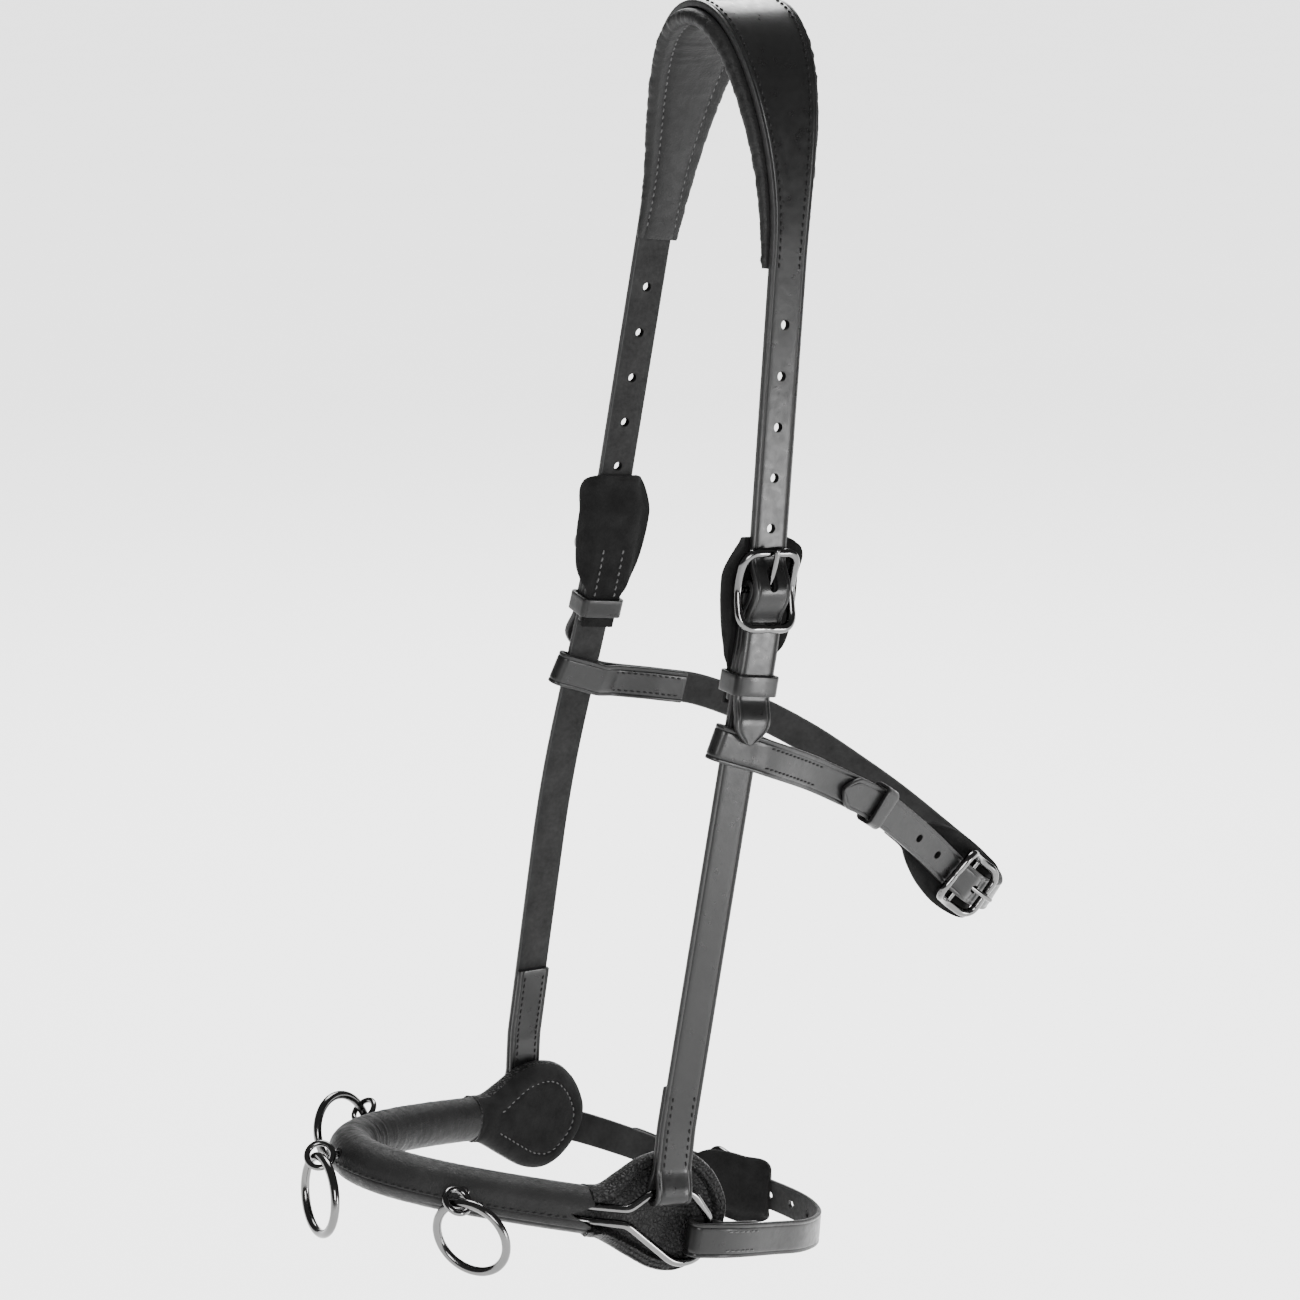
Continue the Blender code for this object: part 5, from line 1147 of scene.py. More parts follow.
def make_crown_strap():
    """One punched strap from billet to billet, humped over both buckle bars."""
    start, end = MIDDLE - BILLET_LENGTH, MIDDLE + BILLET_LENGTH
    path = Profile(start, TIP_LIFT).line(start + TIP_LENGTH, TIP_LIFT)
    path.ease(start + TIP_LENGTH + TIP_RISE_LENGTH, 0.0)
    for side in (-1, 1):
        path.line(MIDDLE + side * BUCKLE_AT - HUMP_HALF, 0.0)
        path.hump(MIDDLE + side * BUCKLE_AT + HUMP_HALF, BILLET_RISE, HUMP_HALF)
    path.line(end - TIP_LENGTH - TIP_RISE_LENGTH, 0.0)
    path.ease(end - TIP_LENGTH, TIP_LIFT).line(end, TIP_LIFT)
    item = lay_strap("crown_strap", FULL_RUN, path, crown_width, BILLET_THICKNESS,
                     TIP_LENGTH, TIP_LENGTH)
    punch(item, "crown_strap", FULL_RUN,
          [hole(MIDDLE + side * (FIRST_HOLE + k * HOLE_PITCH), BILLET_TOP, k == USED_HOLE,
                BILLET_RISE) for side in (-1, 1) for k in range(HOLE_COUNT)])
    stitches("crown_strap", FULL_RUN, [
        (MIDDLE - LINING_LENGTH, MIDDLE + LINING_LENGTH,
         lambda s, side=side: (side * (crown_width(s) / 2 - SEAM_INSET), BILLET_TOP, 1))
        for side in (-1, 1)])


def lining_fullness(s):
    share = abs(s - MIDDLE) / LINING_LENGTH
    return 1 - (1 - LINING_END_SHARE) * share ** 3


def lining_rim(s, fullness):
    """The radius of the lining's rolled edge, and how far across its middle lies."""
    roll = LINING_ROLL / 2 * fullness
    return roll, crown_width(s) / 2 + LINING_RIM * fullness - roll


def lining_section(s, fullness):
    """Control points across and out of the lining's section, from the front over the inside."""
    roll, rim = lining_rim(s, fullness)
    middle = LINING_TOP - roll
    depth = LINING_TOP - LINING_DEPTH * fullness
    channel = rim - roll * CHANNEL_INSET
    groove = LINING_GROOVE * fullness
    inside = [(-channel * share, depth + groove * up) for share, up in CHANNEL_SHARES]
    ends = []
    for side, first in ((-1, 90), (1, 270)):
        angles = [math.radians(first + LINING_ROLL_TURN * k) for k in range(LINING_ROLL_POINTS)]
        ends.append([(side * rim + roll * math.cos(t), middle + roll * math.sin(t))
                     for t in angles])
    return ends[0] + inside + [(-a, n) for a, n in inside[-2::-1]] + ends[1]


def make_crown_lining():
    """Padding rolled beyond the strap, quilted in three channels and wrinkled across."""
    verts = []
    for k in range(LINING_ROWS):
        s = MIDDLE + LINING_LENGTH * (2 * k / (LINING_ROWS - 1) - 1)
        end_gap = (LINING_LENGTH - abs(s - MIDDLE)) / LINING_END_ROUND
        fullness = lining_fullness(s) * math.sqrt(
            1 - (1 - min(1.0, end_gap)) ** 2 * LINING_END_DROP)
        section = lining_section(s, fullness)
        for a, n in section:
            crease = wrinkles(LINING_CREASES, s, a, 0.0)
            ripple = wrinkles(LINING_RIPPLES, s, a, LINING_SEED)
            rolled = 1.0 if n < LINING_TOP - LINING_FLAT_DEPTH else LINING_FACE_SHARE
            pull = rolled * (WRINKLE * min(crease, LINING_PULL)
                             + LINING_RIPPLE_SHARE * WRINKLE * ripple)
            shift = pull * math.copysign(1.0, a) if abs(a) > crown_width(s) / 2 else 0.0
            verts.append(FULL_RUN.point(s, a + shift, n - abs(pull) * (shift == 0.0)))
    faces = capped_faces(LINING_ROWS, len(section))
    dressed(add_piece("crown_lining", verts, faces, SOFT_LEATHER), "crown_lining")

    def channel(s, side):
        fullness = lining_fullness(s)
        roll, rim = lining_rim(s, fullness)
        depth = LINING_TOP - (LINING_DEPTH - LINING_GROOVE) * fullness
        return side * (rim - roll * CHANNEL_INSET), depth, -1

    reach = LINING_LENGTH * LINING_SEAM_SHARE
    stitches("crown_lining", FULL_RUN, [(MIDDLE - reach, MIDDLE + reach,
                                         lambda s, side=side: channel(s, side))
                                        for side in (-1, 1)], PALE_THREAD)


def make_head_side(tail, run, turn_back):
    """The cheek strap, folded round the buckle's bar and the wire loop, with its buckle."""
    bar_wrap = BAR_RADIUS + BAR_PLAY + CHEEK_THICKNESS / 2
    wire_wrap = WIRE_RADIUS + WIRE_PLAY + CHEEK_THICKNESS / 2
    end = run.length
    path = Profile(BUCKLE_AT + CHEEK_TAIL, CHEEK_INNER)
    path.line(BUCKLE_AT + FOLD_EASE, CHEEK_INNER).ease(BUCKLE_AT, CHEEK_BAR - bar_wrap)
    path.fold(BUCKLE_AT, CHEEK_BAR, bar_wrap, -1).ease(BUCKLE_AT + FOLD_EASE, CHEEK_OUTER)
    path.line(end - FOLD_EASE, CHEEK_OUTER).ease(end, CHEEK_MIDDLE + wire_wrap)
    path.fold(end, CHEEK_MIDDLE, wire_wrap, 1).ease(end - FOLD_EASE, CHEEK_INNER)
    path.line(end - turn_back, CHEEK_INNER)
    spans = ((BUCKLE_AT + FOLD_EASE, BUCKLE_AT + CHEEK_TAIL - END_MARGIN),
             (end - turn_back + END_MARGIN, end - FOLD_EASE))
    make_strap("cheek_strap" + tail, run, path, (CHEEK_WIDTH, CHEEK_THICKNESS),
               [slot_hole(BUCKLE_AT - SLOT_SHIFT, CHEEK_BAR, bar_wrap + CHEEK_THICKNESS)],
               spans, (CHEEK_OUTER, CHEEK_INNER))
    fit_buckle("cheek", tail, run, BUCKLE_AT, 1, (CHEEK_BAR, CHEEK_FRAME),
               (CHEEK_WIDTH, BILLET_TOP), CHEEK_INNER - CHEEK_THICKNESS / 2, CHEEK_GUARD,
               (BUCKLE_AT + CHEEK_KEEPER_BELOW, CHEEK_KEEPER_HEIGHT))


# Jowl strap

JOWL_STACK = JOWL_THICKNESS + LAYER_GAP
JOWL_TURN = CHEEK_THICKNESS / 2 + JOWL_LOOP_PLAY + JOWL_THICKNESS / 2
JOWL_EDGE = CHEEK_WIDTH / 2 + JOWL_EDGE_PLAY
JOWL_ROUTE = np.array(((9.2, -64.5, -325.5), (28.5, -60.0, -337.5), (50.0, -55.0, -351.5),
                       (84.0, -47.0, -380.5), (122.2, -37.5, -416.5), (146.0, -26.0, -432.0),
                       (159.5, -10.0, -435.0), (162.0, 8.0, -430.0), (153.0, 23.0, -419.0),
                       (131.0, 38.0, -397.0), (108.0, 47.5, -377.5), (87.0, 54.5, -361.0),
                       (60.0, 62.5, -343.5), (28.0, 69.5, -327.5), (4.0, 71.5, -320.5))) * MM
# The straps' directions across at these shares of their length
JOWL_KNOTS = (0.0, 0.045, 0.12, 0.42, 0.58, 0.90, 0.955, 1.0)
JOWL_SIDE, JOWL_REAR = (0.56, 0.0, 0.83), (0.50, -0.16, 0.85)
CHIN_KNOTS = (0.0, 0.12, 0.3, 0.7, 0.9, 1.0)
CHIN_REAR = (0.10, 0.05, 0.99)


def hinted_run(points, knots, hints):
    length = lengths(points)
    return Run(points, read(length / length[-1], knots, np.array(hints)))


def jowl_run():
    """From the near cheek strap round behind the jaw to the far one."""
    ends = []
    for run, side, drop, height in ((NEAR_RUN, -1, JOWL_NEAR_DROP, JOWL_STACK),
                                    (FAR_RUN, 1, JOWL_FAR_DROP, 0.0)):
        s = float(np.interp(-(CROWN_TOP - drop), -run.points[:, 2], run.s))
        n = CHEEK_OUTER + JOWL_TURN + height
        slope = math.tan(JOWL_LOOP_SLOPE)
        places = [run.point(s + a * slope, -side * a, n)
                  for a in (-JOWL_EDGE, 0.0, JOWL_EDGE + JOWL_LEAD)]
        ends.append((places, -run.frame(s)[0]))
    (near, near_hint), (far, far_hint) = ends
    return hinted_run(flow([*near, *JOWL_ROUTE, *far[::-1]]), JOWL_KNOTS,
                      (near_hint, near_hint, JOWL_SIDE, JOWL_REAR, JOWL_REAR, JOWL_SIDE,
                       far_hint, far_hint))


def held(thickness, outer):
    """The bar's height and wrap, the strap's rise over them and the frame's height, for a
    strap of which outer is the layer under the one that the buckle holds."""
    wrap = BAR_RADIUS + BAR_PLAY + thickness / 2
    bar = outer + BAR_OVER_LAYER
    rise = bar + wrap + thickness + GAP + HUMP_EASE
    return bar, wrap, rise, thickness / 2 + GAP + HUMP_EASE + FRAME_RADIUS


def make_jowl():
    """Both halves: the near one with the buckle, the far one with the holes."""
    run, at, top = jowl_run(), JOWL_BUCKLE_AT, JOWL_THICKNESS / 2
    end, size = run.length, (JOWL_WIDTH, JOWL_THICKNESS)
    outer, inner = -JOWL_STACK, -2 * JOWL_STACK
    bar, wrap, rise, frame = held(JOWL_THICKNESS, outer)
    path = Profile(JOWL_TURN_BACK, inner)
    path.line(2 * JOWL_EDGE + JOWL_LOOP_EASE, inner).ease(2 * JOWL_EDGE, outer - 2 * JOWL_TURN)
    path.line(0.0, outer - 2 * JOWL_TURN).fold(0.0, outer - JOWL_TURN, JOWL_TURN, -1)
    path.line(at - FOLD_EASE, outer).ease(at, bar + wrap).fold(at, bar, wrap, 1)
    path.ease(at - FOLD_EASE, inner).line(at - JOWL_TAIL, inner)
    make_strap("jowl_buckle_strap", run, path, size,
               [slot_hole(at + SLOT_SHIFT, bar, wrap + JOWL_THICKNESS)],
               ((2 * JOWL_EDGE + END_MARGIN, JOWL_TURN_BACK - END_MARGIN),
                (at - JOWL_TAIL + END_MARGIN, at - FOLD_EASE)), (outer, inner))

    path = Profile(at - JOWL_BILLET, 0.0).line(at - HUMP_HALF, 0.0)
    path.hump(at + HUMP_HALF, rise, HUMP_HALF).line(end, 0.0)
    path.fold(end, -JOWL_TURN, JOWL_TURN, 1).line(end - 2 * JOWL_EDGE, -2 * JOWL_TURN)
    path.ease(end - 2 * JOWL_EDGE - JOWL_LOOP_EASE, outer).line(end - JOWL_TURN_BACK, outer)
    make_strap("jowl_long_strap", run, path, size,
               [hole(at + USED_HOLE_TO_BAR + k * JOWL_HOLE_PITCH, top, k == 0, rise)
                for k in range(-3, 4)],
               ((end - JOWL_TURN_BACK + END_MARGIN, end - 2 * JOWL_EDGE - END_MARGIN),),
               (0.0, outer), tip_start=TIP_LENGTH)
    fit_buckle("jowl", "", run, at, -1, (bar, frame), (JOWL_WIDTH, top), inner - top,
               JOWL_GUARD, (at - JOWL_KEEPER_BEFORE, JOWL_KEEPER_HEIGHT, outer - top))


# Noseband

def half_width(share):
    return FAR_HALF_WIDTH if share > 0 else NOSE_HALF_WIDTH


def nose_line(share):
    """The tube's centre line in the noseband's own frame; share runs from -1, near, to 1, far."""
    return Vector((-NOSE_LENGTH * (1 - share * share), half_width(share) * share, 0.0))


def nose_outward(share):
    x, y = 2 * NOSE_LENGTH * share, half_width(share)
    size = math.hypot(x, y)
    return Vector((-y / size, x / size, 0.0))


def wire_path(side):
    """The wire loop's line, with both roots where it goes into the tube's end."""
    roots = [[nose_side(x, y, z, side) for x, y in (WIRE_ROOT_INNER, WIRE_ROOT_OUTER)]
             for z in (WIRE_CORNERS[0][1], WIRE_CORNERS[-1][1])]
    loop = [nose_side(x, WIRE_OUT, z, side) for x, z in WIRE_CORNERS]
    return filleted([*roots[0], *loop, *roots[1][::-1]],
                    (0.0, WIRE_ROOT_FILLET, *WIRE_FILLETS, WIRE_ROOT_FILLET, 0.0), 4)


def eye_frame(suffix):
    """An eye's place: its middle, with local X reaching out from the tube and Y sloping down."""
    share = EYE_SHARES[suffix]
    outward = NOSE_MATRIX.to_3x3() @ nose_outward(share)
    outward = Vector((outward.x, outward.y, 0.0)).normalized()
    along, up = Vector((-outward.y, outward.x, 0.0)), Vector((0.0, 0.0, 1.0))
    reach, slope = (x * outward + y * along + z * up for x, y, z in (EYE_REACH, EYE_SLOPE))
    reach.normalize()
    slope = (slope - slope.dot(reach) * reach).normalized()
    away = outward * math.cos(EYE_RISES[suffix]) + up * math.sin(EYE_RISES[suffix])
    frame = Matrix((reach, slope, reach.cross(slope))).transposed().to_4x4()
    frame.translation = NOSE_MATRIX @ nose_line(share) + away * (TUBE_RADIUS + EYE_STAND_OFF)
    return frame


def around_tube(share, angle, radius):
    """A point of the tube's skin; angle 0 faces outward and a quarter turn is the top."""
    away = nose_outward(share) * math.cos(angle) + Vector((0.0, 0.0, 1.0)) * math.sin(angle)
    return NOSE_MATRIX @ (nose_line(share) + away * radius)


def turned_from(angle, middle):
    """How far an angle lies from another, from -pi to pi."""
    return (angle - middle + math.pi) % (2 * math.pi) - math.pi


def tube_radius(share, angle):
    """The leather's wrinkles inside the bend, a soft ridge on top and the seam's welt outside."""
    inside = 0.5 - 0.5 * math.cos(angle)
    length = share * (NOSE_LENGTH + NOSE_HALF_WIDTH)
    fold = noise.noise(Vector((length / TUBE_CREASES, angle * TUBE_CREASE_TURN, TUBE_SEEDS[0])))
    fine = noise.noise(Vector((length / TUBE_RIPPLES, angle * TUBE_RIPPLE_TURN, TUBE_SEEDS[1])))
    bent = bell(share, *FAR_BEND) + NEAR_BEND_SHARE * bell(share, *NEAR_BEND)
    radius = TUBE_RADIUS - TUBE_SKIN
    radius += WRINKLE * (OUTSIDE_SHARE + inside) * (STRAIGHT_SHARE + bent) * (
        TUBE_CREASE_SHARE * fold + TUBE_RIPPLE_SHARE * fine)
    ridge = bell(turned_from(angle, TOP_RIDGE_ANGLE), 0.0, RIDGE_SPREAD)
    radius += TOP_RIDGE * ridge * (RIDGE_SHARE + RIDGE_CREASE_SHARE * fold)
    turn = turned_from(angle, TUBE_SEAM_ANGLE)
    radius += SEAM_WELT * bell(turn, SEAM_ANGLE, WELT_SPREAD)
    radius -= SEAM_GROOVE * bell(turn, *GROOVE_PLACE)
    near_end = np.clip((NEAR_FOLD_FROM - share) / NEAR_FOLD_EASE, 0.0, 1.0)
    radius -= NEAR_FOLD * near_end * bell(turn, *NEAR_FOLD_PLACE)
    return radius


def make_tube():
    """The stitched leather cover over the noseband's core, open where the pads and wires go in."""
    verts = []
    for k in range(TUBE_ROWS):
        share = -1 + 2 * k / (TUBE_ROWS - 1)
        angles = [2 * math.pi * j / TUBE_SIDES for j in range(TUBE_SIDES)]
        verts += [around_tube(share, angle, tube_radius(share, angle)) for angle in angles]
    item = add_piece("noseband_tube", verts, capped_faces(TUBE_ROWS, TUBE_SIDES), SOFT_LEATHER)
    ends = bmesh.new()
    for side in (-1, 1):
        size = 4 * TUBE_RADIUS
        place = Matrix.Translation((TUBE_END + TUBE_TUCK + size / 2, side * NOSE_HALF_WIDTH, 0.0))
        bmesh.ops.create_cube(ends, size=size, matrix=NOSE_MATRIX @ place)
    item = cut(item, "tube_ends_tool", ends)
    mouths = bmesh.new()
    rear = TUBE_END + TUBE_TUCK + MM
    corners = ((TUBE_END - MOUTH_LENGTH, 0.0), (rear, MOUTH_HALF), (rear, -MOUTH_HALF))
    for side in (-1, 1):
        low, high = ([mouths.verts.new(NOSE_MATRIX @ nose_side(x, y, z, side)) for x, z in corners]
                     for y in (NOSE_HALF_WIDTH + MOUTH_FLOOR, NOSE_HALF_WIDTH + 2 * TUBE_RADIUS))
        mouths.faces.new(low)
        mouths.faces.new(high)
        for k in range(3):
            mouths.faces.new((low[k], low[k - 1], high[k - 1], high[k]))
    bmesh.ops.recalc_face_normals(mouths, faces=mouths.faces)
    dressed(cut(item, "tube_mouths_tool", mouths), "noseband_tube")


class TubeRun:
    """The seam's line on the tube, read like a strap's run."""

    def __init__(self, angle):
        self.shares = np.linspace(-TUBE_SEAM_END, TUBE_SEAM_END, TUBE_SEAM_POINTS)
        skin = [around_tube(v, angle, TUBE_RADIUS - TUBE_SKIN) for v in self.shares]
        self.points = np.array([tuple(p) for p in skin])
        self.s = lengths(self.points)
        self.length = self.s[-1]

    def frame(self, s):
        point = read(s, self.s, self.points)
        share = float(np.interp(s, self.s, self.shares))
        out = unit(point - np.array(NOSE_MATRIX @ nose_line(share)))
        ahead = read(s + MM, self.s, self.points)
        along = unit(ahead - point) if s < self.length - MM else unit(point - self.points[-5])
        return along, np.cross(out, along), out

    def point(self, s, a=0.0, n=0.0):
        _, across, out = self.frame(s)
        return read(s, self.s, self.points) + a * across + n * out


def pad_outline():
    """The pad's edge seen from the side, x to the rear and z up, with its front on the tube."""
    upper = [(PAD_FRONT + PAD_LENGTH * x, PAD_HALF_HEIGHT * up, 0.0)
             for x, up, _ in PAD_OUTLINE_SHARES]
    lower = [(PAD_FRONT + PAD_LENGTH * x, -PAD_HALF_HEIGHT * down, 0.0)
             for x, _, down in PAD_OUTLINE_SHARES]
    corners = upper + lower[::-1]
    outline = flow([corners[-1], *corners, corners[0], corners[1]], PAD_SPAN)
    outline = outline[PAD_SPAN:-PAD_SPAN - 1, :2]
    outline[:, 0] = np.maximum(outline[:, 0], PAD_FRONT)
    return outline


def pad_surface(x, z, inset, inner, side):
    """How far from the head the skin lies: outside it has a welt, a stitched border whose lips
    rise to the tube, and a sunken face; inside it flows from the tube like a trumpet."""
    rear = (x - PAD_FRONT) / PAD_LENGTH
    uneven = PAD_UNEVEN * min(1.0, inset / PAD_UNEVEN_FROM)
    wave = wrinkles(PAD_WAVES, x, z, 2.0 * inner + side)
    if not inner:
        fold = wrinkles(PAD_FOLDS, x - z, x + z, float(side))
        y = PAD_FACE + np.interp(inset, *PAD_PROFILE)
        y += uneven * (wave + fold * (PAD_FOLD_TOP if z > 0 else PAD_FOLD_BELOW))
        lip = max(0.0, 1 - (x - PAD_FRONT) / PAD_LIP_LENGTH) ** 2
        lip = lip * (3 - 2 * lip) if lip < 1 else 1.0
        arch = math.sqrt(TUBE_RADIUS ** 2 - (TUBE_RADIUS - min(inset, PAD_LIP)) ** 2)
        drop = np.clip((inset - PAD_LIP) / PAD_LIP_DROP, 0.0, 1.0)
        return y + (NOSE_HALF_WIDTH + arch - y) * lip * (1 - drop)
    ripple = wrinkles(PAD_RIPPLES, math.hypot(x + PAD_RIPPLE_CENTRE, z), z, PAD_SEED)
    flat = PAD_INNER_FRONT + (PAD_INNER_REAR - PAD_INNER_FRONT) * rear
    edge = PAD_FACE - PAD_EDGE_DROP
    y = edge + (flat - edge) * math.sqrt(1 - (1 - min(1.0, inset / PAD_EDGE_ROUND)) ** 2)
    horn = NOSE_HALF_WIDTH - math.sqrt(max(0.0, TUBE_RADIUS ** 2 - z * z))
    y += (min(y, horn) - y) * max(0.0, 1 - rear / PAD_TRUMPET) ** PAD_TRUMPET_POWER
    y -= uneven * (wave + PAD_RIPPLE_SHARE * ripple * (1 - rear))
    return y + PAD_SEAM_DEPTH * bell(inset, PAD_INNER_SEAM, SEAM_SPREAD) * min(
        1.0, PAD_TRUMPET_SEAM * rear)


def make_pad(suffix, side):
    """A cushion with a stitched rolled rim, a sunken grained face whose colour carries painted
    shade in the grain's valleys and painted highlights on its crests, and a domed suede inside.
    """
    name = "noseband_pad_" + suffix
    outline = pad_outline()
    centre = np.array((PAD_FRONT + PAD_LENGTH / 2, 0.0))
    rear = outline[outline[:, 0] > PAD_FRONT + MM]
    first = int(np.argmax(np.linalg.norm(np.diff(rear, axis=0), axis=1))) + 1
    if first > 1 and np.linalg.norm(rear[first] - rear[first - 1]) > PAD_EDGE_JUMP:
        rear = np.roll(rear, -first, axis=0)
    length = lengths(rear)
    edge = read(np.arange(0.0, length[-1], PAD_EDGE_STEP), length, rear)

    def spot(place, inner):
        inset = float(np.min(np.linalg.norm(edge - place, axis=1)))
        y = pad_surface(place[0], place[1], inset, inner, side)
        return NOSE_MATRIX @ nose_side(place[0], y, place[1], side)

    scales = np.concatenate([np.linspace(*span) for span in PAD_SCALES])
    verts = [spot(centre + (p - centre) * scale, inner)
             for inner, order in ((False, scales), (True, scales[::-1]))
             for scale in order for p in outline]
    count, rings = len(outline), 2 * len(scales)
    face_rings = len(scales) + PAD_WELT_RINGS
    shares = [0] * count * face_rings + [1] * count * (rings - 1 - face_rings) + [0, 1]
    dressed(add_piece(name, verts, capped_faces(rings, count), PAD, shares, SUEDE), name)

    along = unit(np.gradient(edge, axis=0))
    inward = np.stack([-along[:, 1], along[:, 0]], -1)
    if np.mean(((edge + inward - centre) ** 2).sum(1) - ((edge - centre) ** 2).sum(1)) > 0:
        inward = -inward
    away = nose_turn(0.0, 1.0, 0.0, side)
    for inner, inset, look, ending in ((False, PAD_BORDER_SEAM, THREAD, "_stitches"),
                                       (True, PAD_INNER_SEAM, PALE_THREAD, "_inner_stitches")):
        line = edge + inward * inset
        apart = np.min(np.linalg.norm(line[:, None] - edge, axis=2), axis=1)
        line = line[(apart > PAD_SEAM_SHARE * inset)
                    & (line[:, 0] > PAD_FRONT + PAD_LIP_LENGTH / 2)]
        run = Run(np.array([tuple(spot(p, inner)) for p in line[::PAD_SEAM_SKIP]]), away)
        run.out = np.broadcast_to(away, run.out.shape)
        run.across = unit(np.cross(away, run.along))
        row = straight_row(0.0, run.length, 0.0, 0.0, -1 if inner else 1)
        stitches(name, run, [row], look, ending)


def eased_line(points):
    """A line with its bends rounded a little more, as cold-bent wire is."""
    points = np.array(points)
    length = lengths(points)
    fine = np.linspace(0.0, length[-1], int(length[-1] / FINE_STEP))
    line = read(fine, length, points)
    for _ in range(WIRE_EASES):
        line[1:-1] = line[1:-1] / 2 + (line[:-2] + line[2:]) / 4
    return line[::2]


def circle(centre, x, y, radius, angles):
    """Points of a circle in the plane of two directions."""
    return [centre + (x * math.cos(t) + y * math.sin(t)) * radius for t in angles]


def make_ring(suffix):
    """An eye on a shank set in the tube through a washer, and the ring that swings in it."""
    frame = eye_frame(suffix)
    steps = 4 * EYE_SIDES
    angles = [math.pi - 2 * math.pi * k / steps for k in range(steps)]
    spots = [frame @ p for p in circle(Vector(), Vector((1.0, 0.0, 0.0)),
                                       Vector((0.0, 1.0, 0.0)), EYE_RADIUS, angles)]
    rim = frame @ Vector((-EYE_RADIUS, 0.0, 0.0))
    middle = NOSE_MATRIX @ nose_line(EYE_SHARES[suffix])
    away = (rim - middle).normalized()
    root = middle + away * (TUBE_RADIUS - SHANK_DEPTH + GAP)
    collar = middle + away * (TUBE_RADIUS - WASHER_SINK)
    steel_piece("ring_eye_" + suffix, sweep(spots, EYE_WIRE, ROD_SIDES, True),
                rounded_rod([rim.lerp(root, k / SHANK_STEPS) for k in range(SHANK_STEPS + 1)],
                            EYE_WIRE),
                sweep([collar + away * rise * MM for rise, _ in WASHER],
                      [WASHER_RADIUS * share for _, share in WASHER], WASHER_SIDES))

    facing = Vector(RING_FACING[suffix]).normalized()
    reach = Vector(RING_REACH[suffix])
    reach = (reach - reach.dot(facing) * facing).normalized()
    seat = frame @ Vector((EYE_RADIUS - EYE_WIRE - RING_WIRE - RING_GAP, 0.0, 0.0))
    line = circle(seat + reach * RING_RADIUS, reach, reach.cross(facing), RING_RADIUS,
                  np.linspace(0.0, 2 * math.pi, RING_POINTS, endpoint=False))
    steel_piece("ring_" + suffix, sweep(line, RING_WIRE, WIRE_SIDES, True))


def make_noseband():
    make_tube()
    seam = TubeRun(TUBE_SEAM_ANGLE + SEAM_ANGLE)
    start, end = (share * seam.length for share in TUBE_SEAM_REACH)
    stitches("noseband_tube", seam, [straight_row(start, end, 0.0, TUBE_SEAM_HEIGHT)])
    for suffix, side in (("near", -1), ("far", 1)):
        make_pad(suffix, side)
        bent = eased_line([tuple(NOSE_MATRIX @ Vector(p)) for p in wire_path(side)])
        steel_piece("wire_loop_" + suffix,
                    rounded_rod(bent, WIRE_RADIUS - WIRE_POLISH, WIRE_SIDES))
    for suffix in EYE_SHARES:
        make_ring(suffix)


# Chin strap

CHIN_ROUTE = np.array(((-24.5, -86.5, -543.0), (-5.0, -80.0, -552.0), (11.0, -69.0, -560.0),
                       (21.0, -55.0, -566.5), (25.5, -38.0, -571.0), (23.0, -13.0, -575.0),
                       (10.0, 12.0, -574.0), (-7.0, 33.0, -568.5), (-21.0, 49.0, -563.0))) * MM
CHIN_STACK = CHIN_THICKNESS + LAYER_GAP
CHIN_TURN = WIRE_RADIUS + WIRE_PLAY + CHIN_THICKNESS / 2


def chin_run():
    """From the near wire loop round behind the chin to the far one."""
    (x0, z0), (x1, z1) = WIRE_CORNERS[3], WIRE_CORNERS[4]
    ends = []
    for side, height in ((-1, CHIN_TURN), (1, CHIN_TURN + CHIN_STACK)):
        rearward = nose_turn(1.0, 0.0, 0.0, side)
        start = (on_wire(3, 4, CHIN_LOOP_SHARE, side) + nose_turn(0.0, 1.0, 0.0, side) * height
                 - rearward * CHIN_SLACK)
        ends.append((start, start + rearward * CHIN_STRAIGHT,
                     unit(nose_turn(x0 - x1, 0.0, z0 - z1, side))))
    (start, after, near_hint), (end, before, far_hint) = ends
    return hinted_run(flow([start, after, *CHIN_ROUTE, before, end]), CHIN_KNOTS,
                      (near_hint, near_hint, CHIN_REAR, CHIN_REAR, far_hint, far_hint))


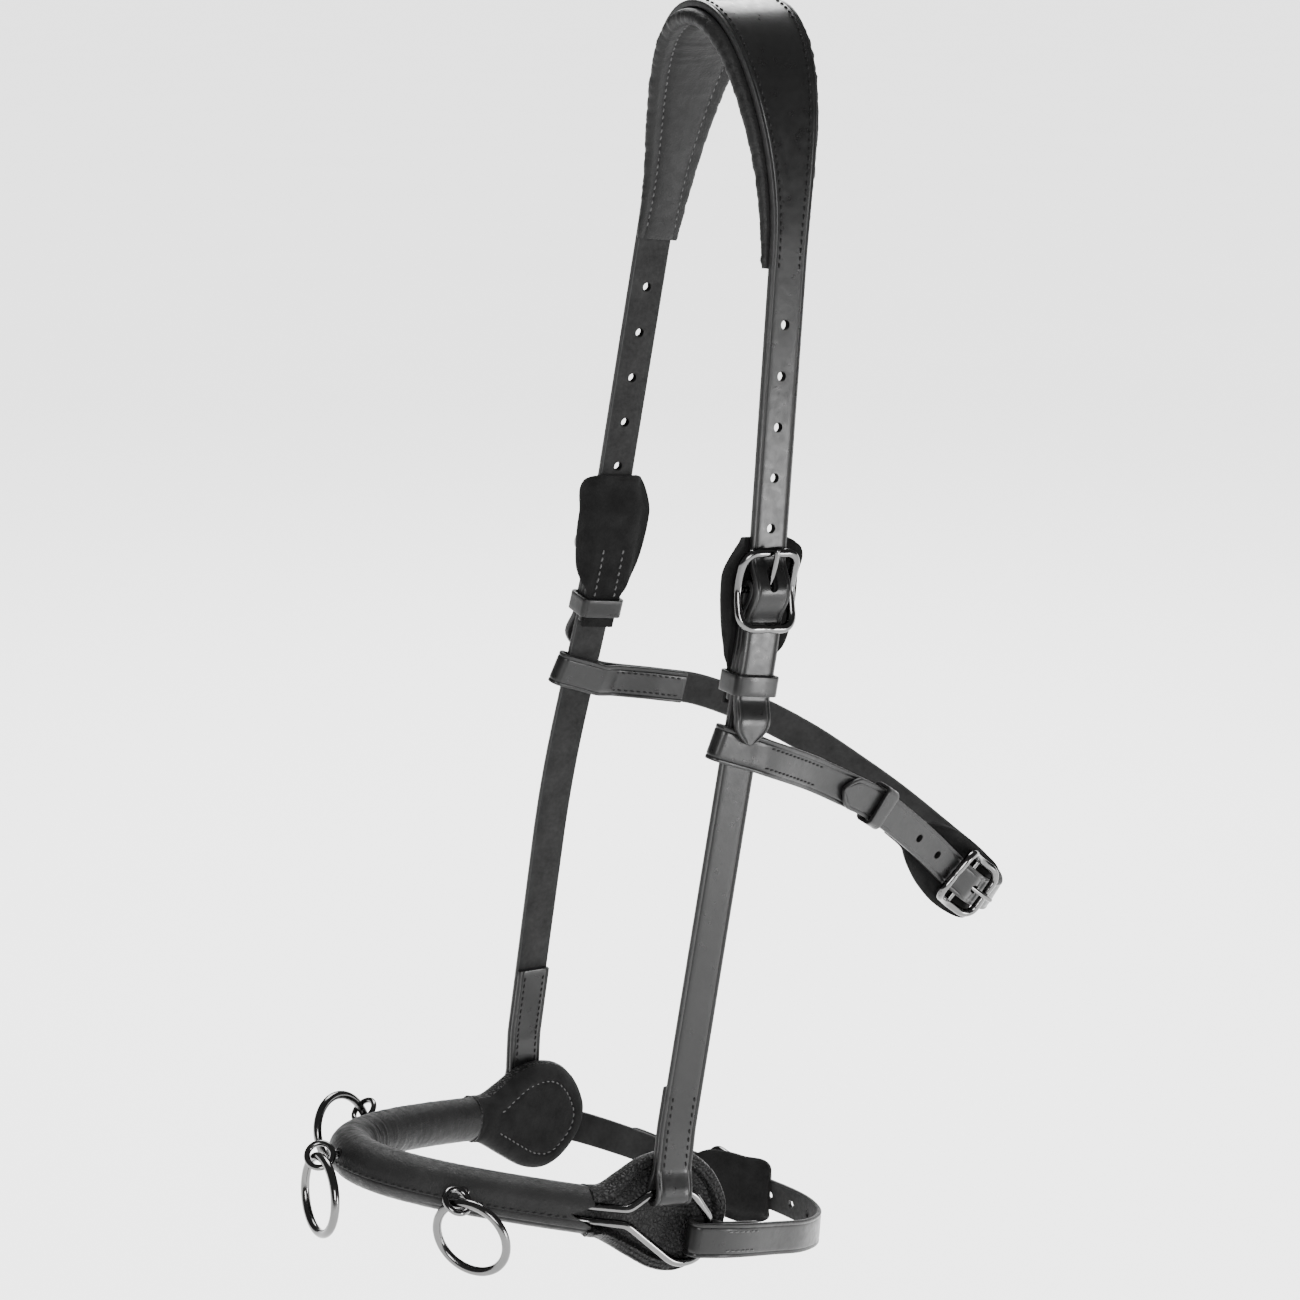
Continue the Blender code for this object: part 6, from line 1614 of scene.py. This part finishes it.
def make_chin():
    """Both halves: the near one with the holes, the far one with the buckle."""
    run, top = chin_run(), CHIN_THICKNESS / 2
    end, size = run.length, (CHIN_WIDTH, CHIN_THICKNESS)
    at = end - CHIN_BUCKLE_BEFORE
    outer, inner = -CHIN_STACK, -2 * CHIN_STACK
    bar, wrap, rise, frame = held(CHIN_THICKNESS, outer)
    path = Profile(CHIN_TURN_BACK, outer)
    path.line(CHIN_SLACK + CHIN_FOLD_EASE, outer).ease(CHIN_SLACK, -2 * CHIN_TURN)
    path.line(0.0, -2 * CHIN_TURN).fold(0.0, -CHIN_TURN, CHIN_TURN, -1)
    path.line(at - HUMP_HALF, 0.0).hump(at + HUMP_HALF, rise, HUMP_HALF)
    path.line(at + CHIN_BILLET, 0.0)
    make_strap("chin_long_strap", run, path, size,
               [hole(at - USED_HOLE_TO_BAR + k * CHIN_HOLE_PITCH, top, k == 0, rise)
                for k in range(-3, 3)],
               ((CHIN_SLACK + CHIN_FOLD_EASE, CHIN_TURN_BACK - END_MARGIN / 2),),
               (0.0, outer), PALE_THREAD, tip_end=TIP_LENGTH)

    path = Profile(at + CHIN_TAIL, inner).line(at + FOLD_EASE, inner).ease(at, bar - wrap)
    path.fold(at, bar, wrap, -1).ease(at + FOLD_EASE, outer).line(end, outer)
    path.fold(end, outer - CHIN_TURN, CHIN_TURN, 1).line(end - CHIN_SLACK, outer - 2 * CHIN_TURN)
    path.ease(end - CHIN_SLACK - CHIN_FOLD_EASE, inner).line(end - CHIN_FAR_TURN_BACK, inner)
    make_strap("chin_buckle_strap", run, path, size,
               [slot_hole(at - SLOT_SHIFT, bar, wrap + CHIN_THICKNESS)],
               ((at + FOLD_EASE, at + CHIN_TAIL - END_MARGIN),
                (end - CHIN_FAR_TURN_BACK + END_MARGIN / 2, end - CHIN_SLACK - CHIN_FOLD_EASE)),
               (outer, inner), PALE_THREAD)
    fit_buckle("chin", "", run, at, 1, (bar, frame), (CHIN_WIDTH, top), inner - top,
               CHIN_GUARD, (at + CHIN_KEEPER_AFTER, CHIN_KEEPER_HEIGHT, outer - top))


# Camera, light and floor

def make_camera():
    """Looks at the part as the photograph does."""
    a, e = CAMERA_AZIMUTH, CAMERA_ELEVATION
    back = Vector((math.sin(a) * math.cos(e), -math.cos(a) * math.cos(e), math.sin(e)))
    right = Vector((math.cos(a), math.sin(a), 0.0))
    camera = linked("camera", bpy.data.cameras.new("camera"))
    camera.data.sensor_width = SENSOR_WIDTH
    camera.data.lens = SENSOR_WIDTH * FOCAL_SHARE
    turn = Matrix((right, back.cross(right), back)).transposed().to_4x4()
    turn.translation = Vector(LOOK_AT) + back * CAMERA_DISTANCE
    camera.matrix_world = turn
    bpy.context.scene.camera = camera


def make_lights():
    """A dim white world, soft square lights aimed at the middle of the part, and a broad sun
    overhead that doesn't show in reflections."""
    world = bpy.data.worlds.new("studio")
    world.use_nodes = True
    background = world.node_tree.nodes["Background"]
    background.inputs["Color"].default_value = WHITE
    background.inputs["Strength"].default_value = WORLD_STRENGTH
    bpy.context.scene.world = world
    for name, place, size, power in LIGHTS:
        light = linked(name, bpy.data.lights.new(name, "AREA"))
        light.data.shape = "SQUARE"
        light.data.size = size
        light.data.energy = power
        aim = Vector(LOOK_AT) - Vector(place)
        light.matrix_world = (Matrix.Translation(place)
                              @ aim.to_track_quat("-Z", "Y").to_matrix().to_4x4())
    overhead = linked("overhead", bpy.data.lights.new("overhead", "SUN"))
    overhead.data.energy = OVERHEAD_STRENGTH
    overhead.data.angle = OVERHEAD_SPREAD
    overhead.visible_glossy = False


def make_stage():
    """A paper floor well below the part and a cloth wall round it that only the camera sees."""
    bm = bmesh.new()
    bmesh.ops.create_grid(bm, x_segments=1, y_segments=1, size=FLOOR_HALF)
    floor = helper("studio_floor", bm)
    floor.location = (0.0, 0.0, CAD_BOX[0][2] - FLOOR_BELOW)
    floor.data.materials.append(make_look("floor_paper", (2.0, 3.0), ((0.2, 0.86), (0.8, 0.88)),
                                          0.9))
    bm = bmesh.new()
    bmesh.ops.create_cone(bm, cap_ends=False, segments=BACKDROP_SIDES, radius1=BACKDROP_RADIUS,
                          radius2=BACKDROP_RADIUS, depth=BACKDROP_HEIGHT)
    wall = helper("studio_backdrop", bm)
    wall.visible_glossy = wall.visible_diffuse = wall.visible_shadow = False
    wall.data.materials.append(make_look("backdrop_cloth", (2.0, 3.0), ((0.2, 0.01), (0.8, 0.02)),
                                         1.0, Emission_Color=WHITE,
                                         Emission_Strength=BACKDROP_GLOW))


make_camera()
make_lights()
make_stage()
make_crown_strap()
make_crown_lining()
make_head_side("_near", NEAR_RUN, NEAR_CHEEK_TURN_BACK)
make_head_side("_far", FAR_RUN, FAR_CHEEK_TURN_BACK)
make_jowl()
make_noseband()
make_chin()
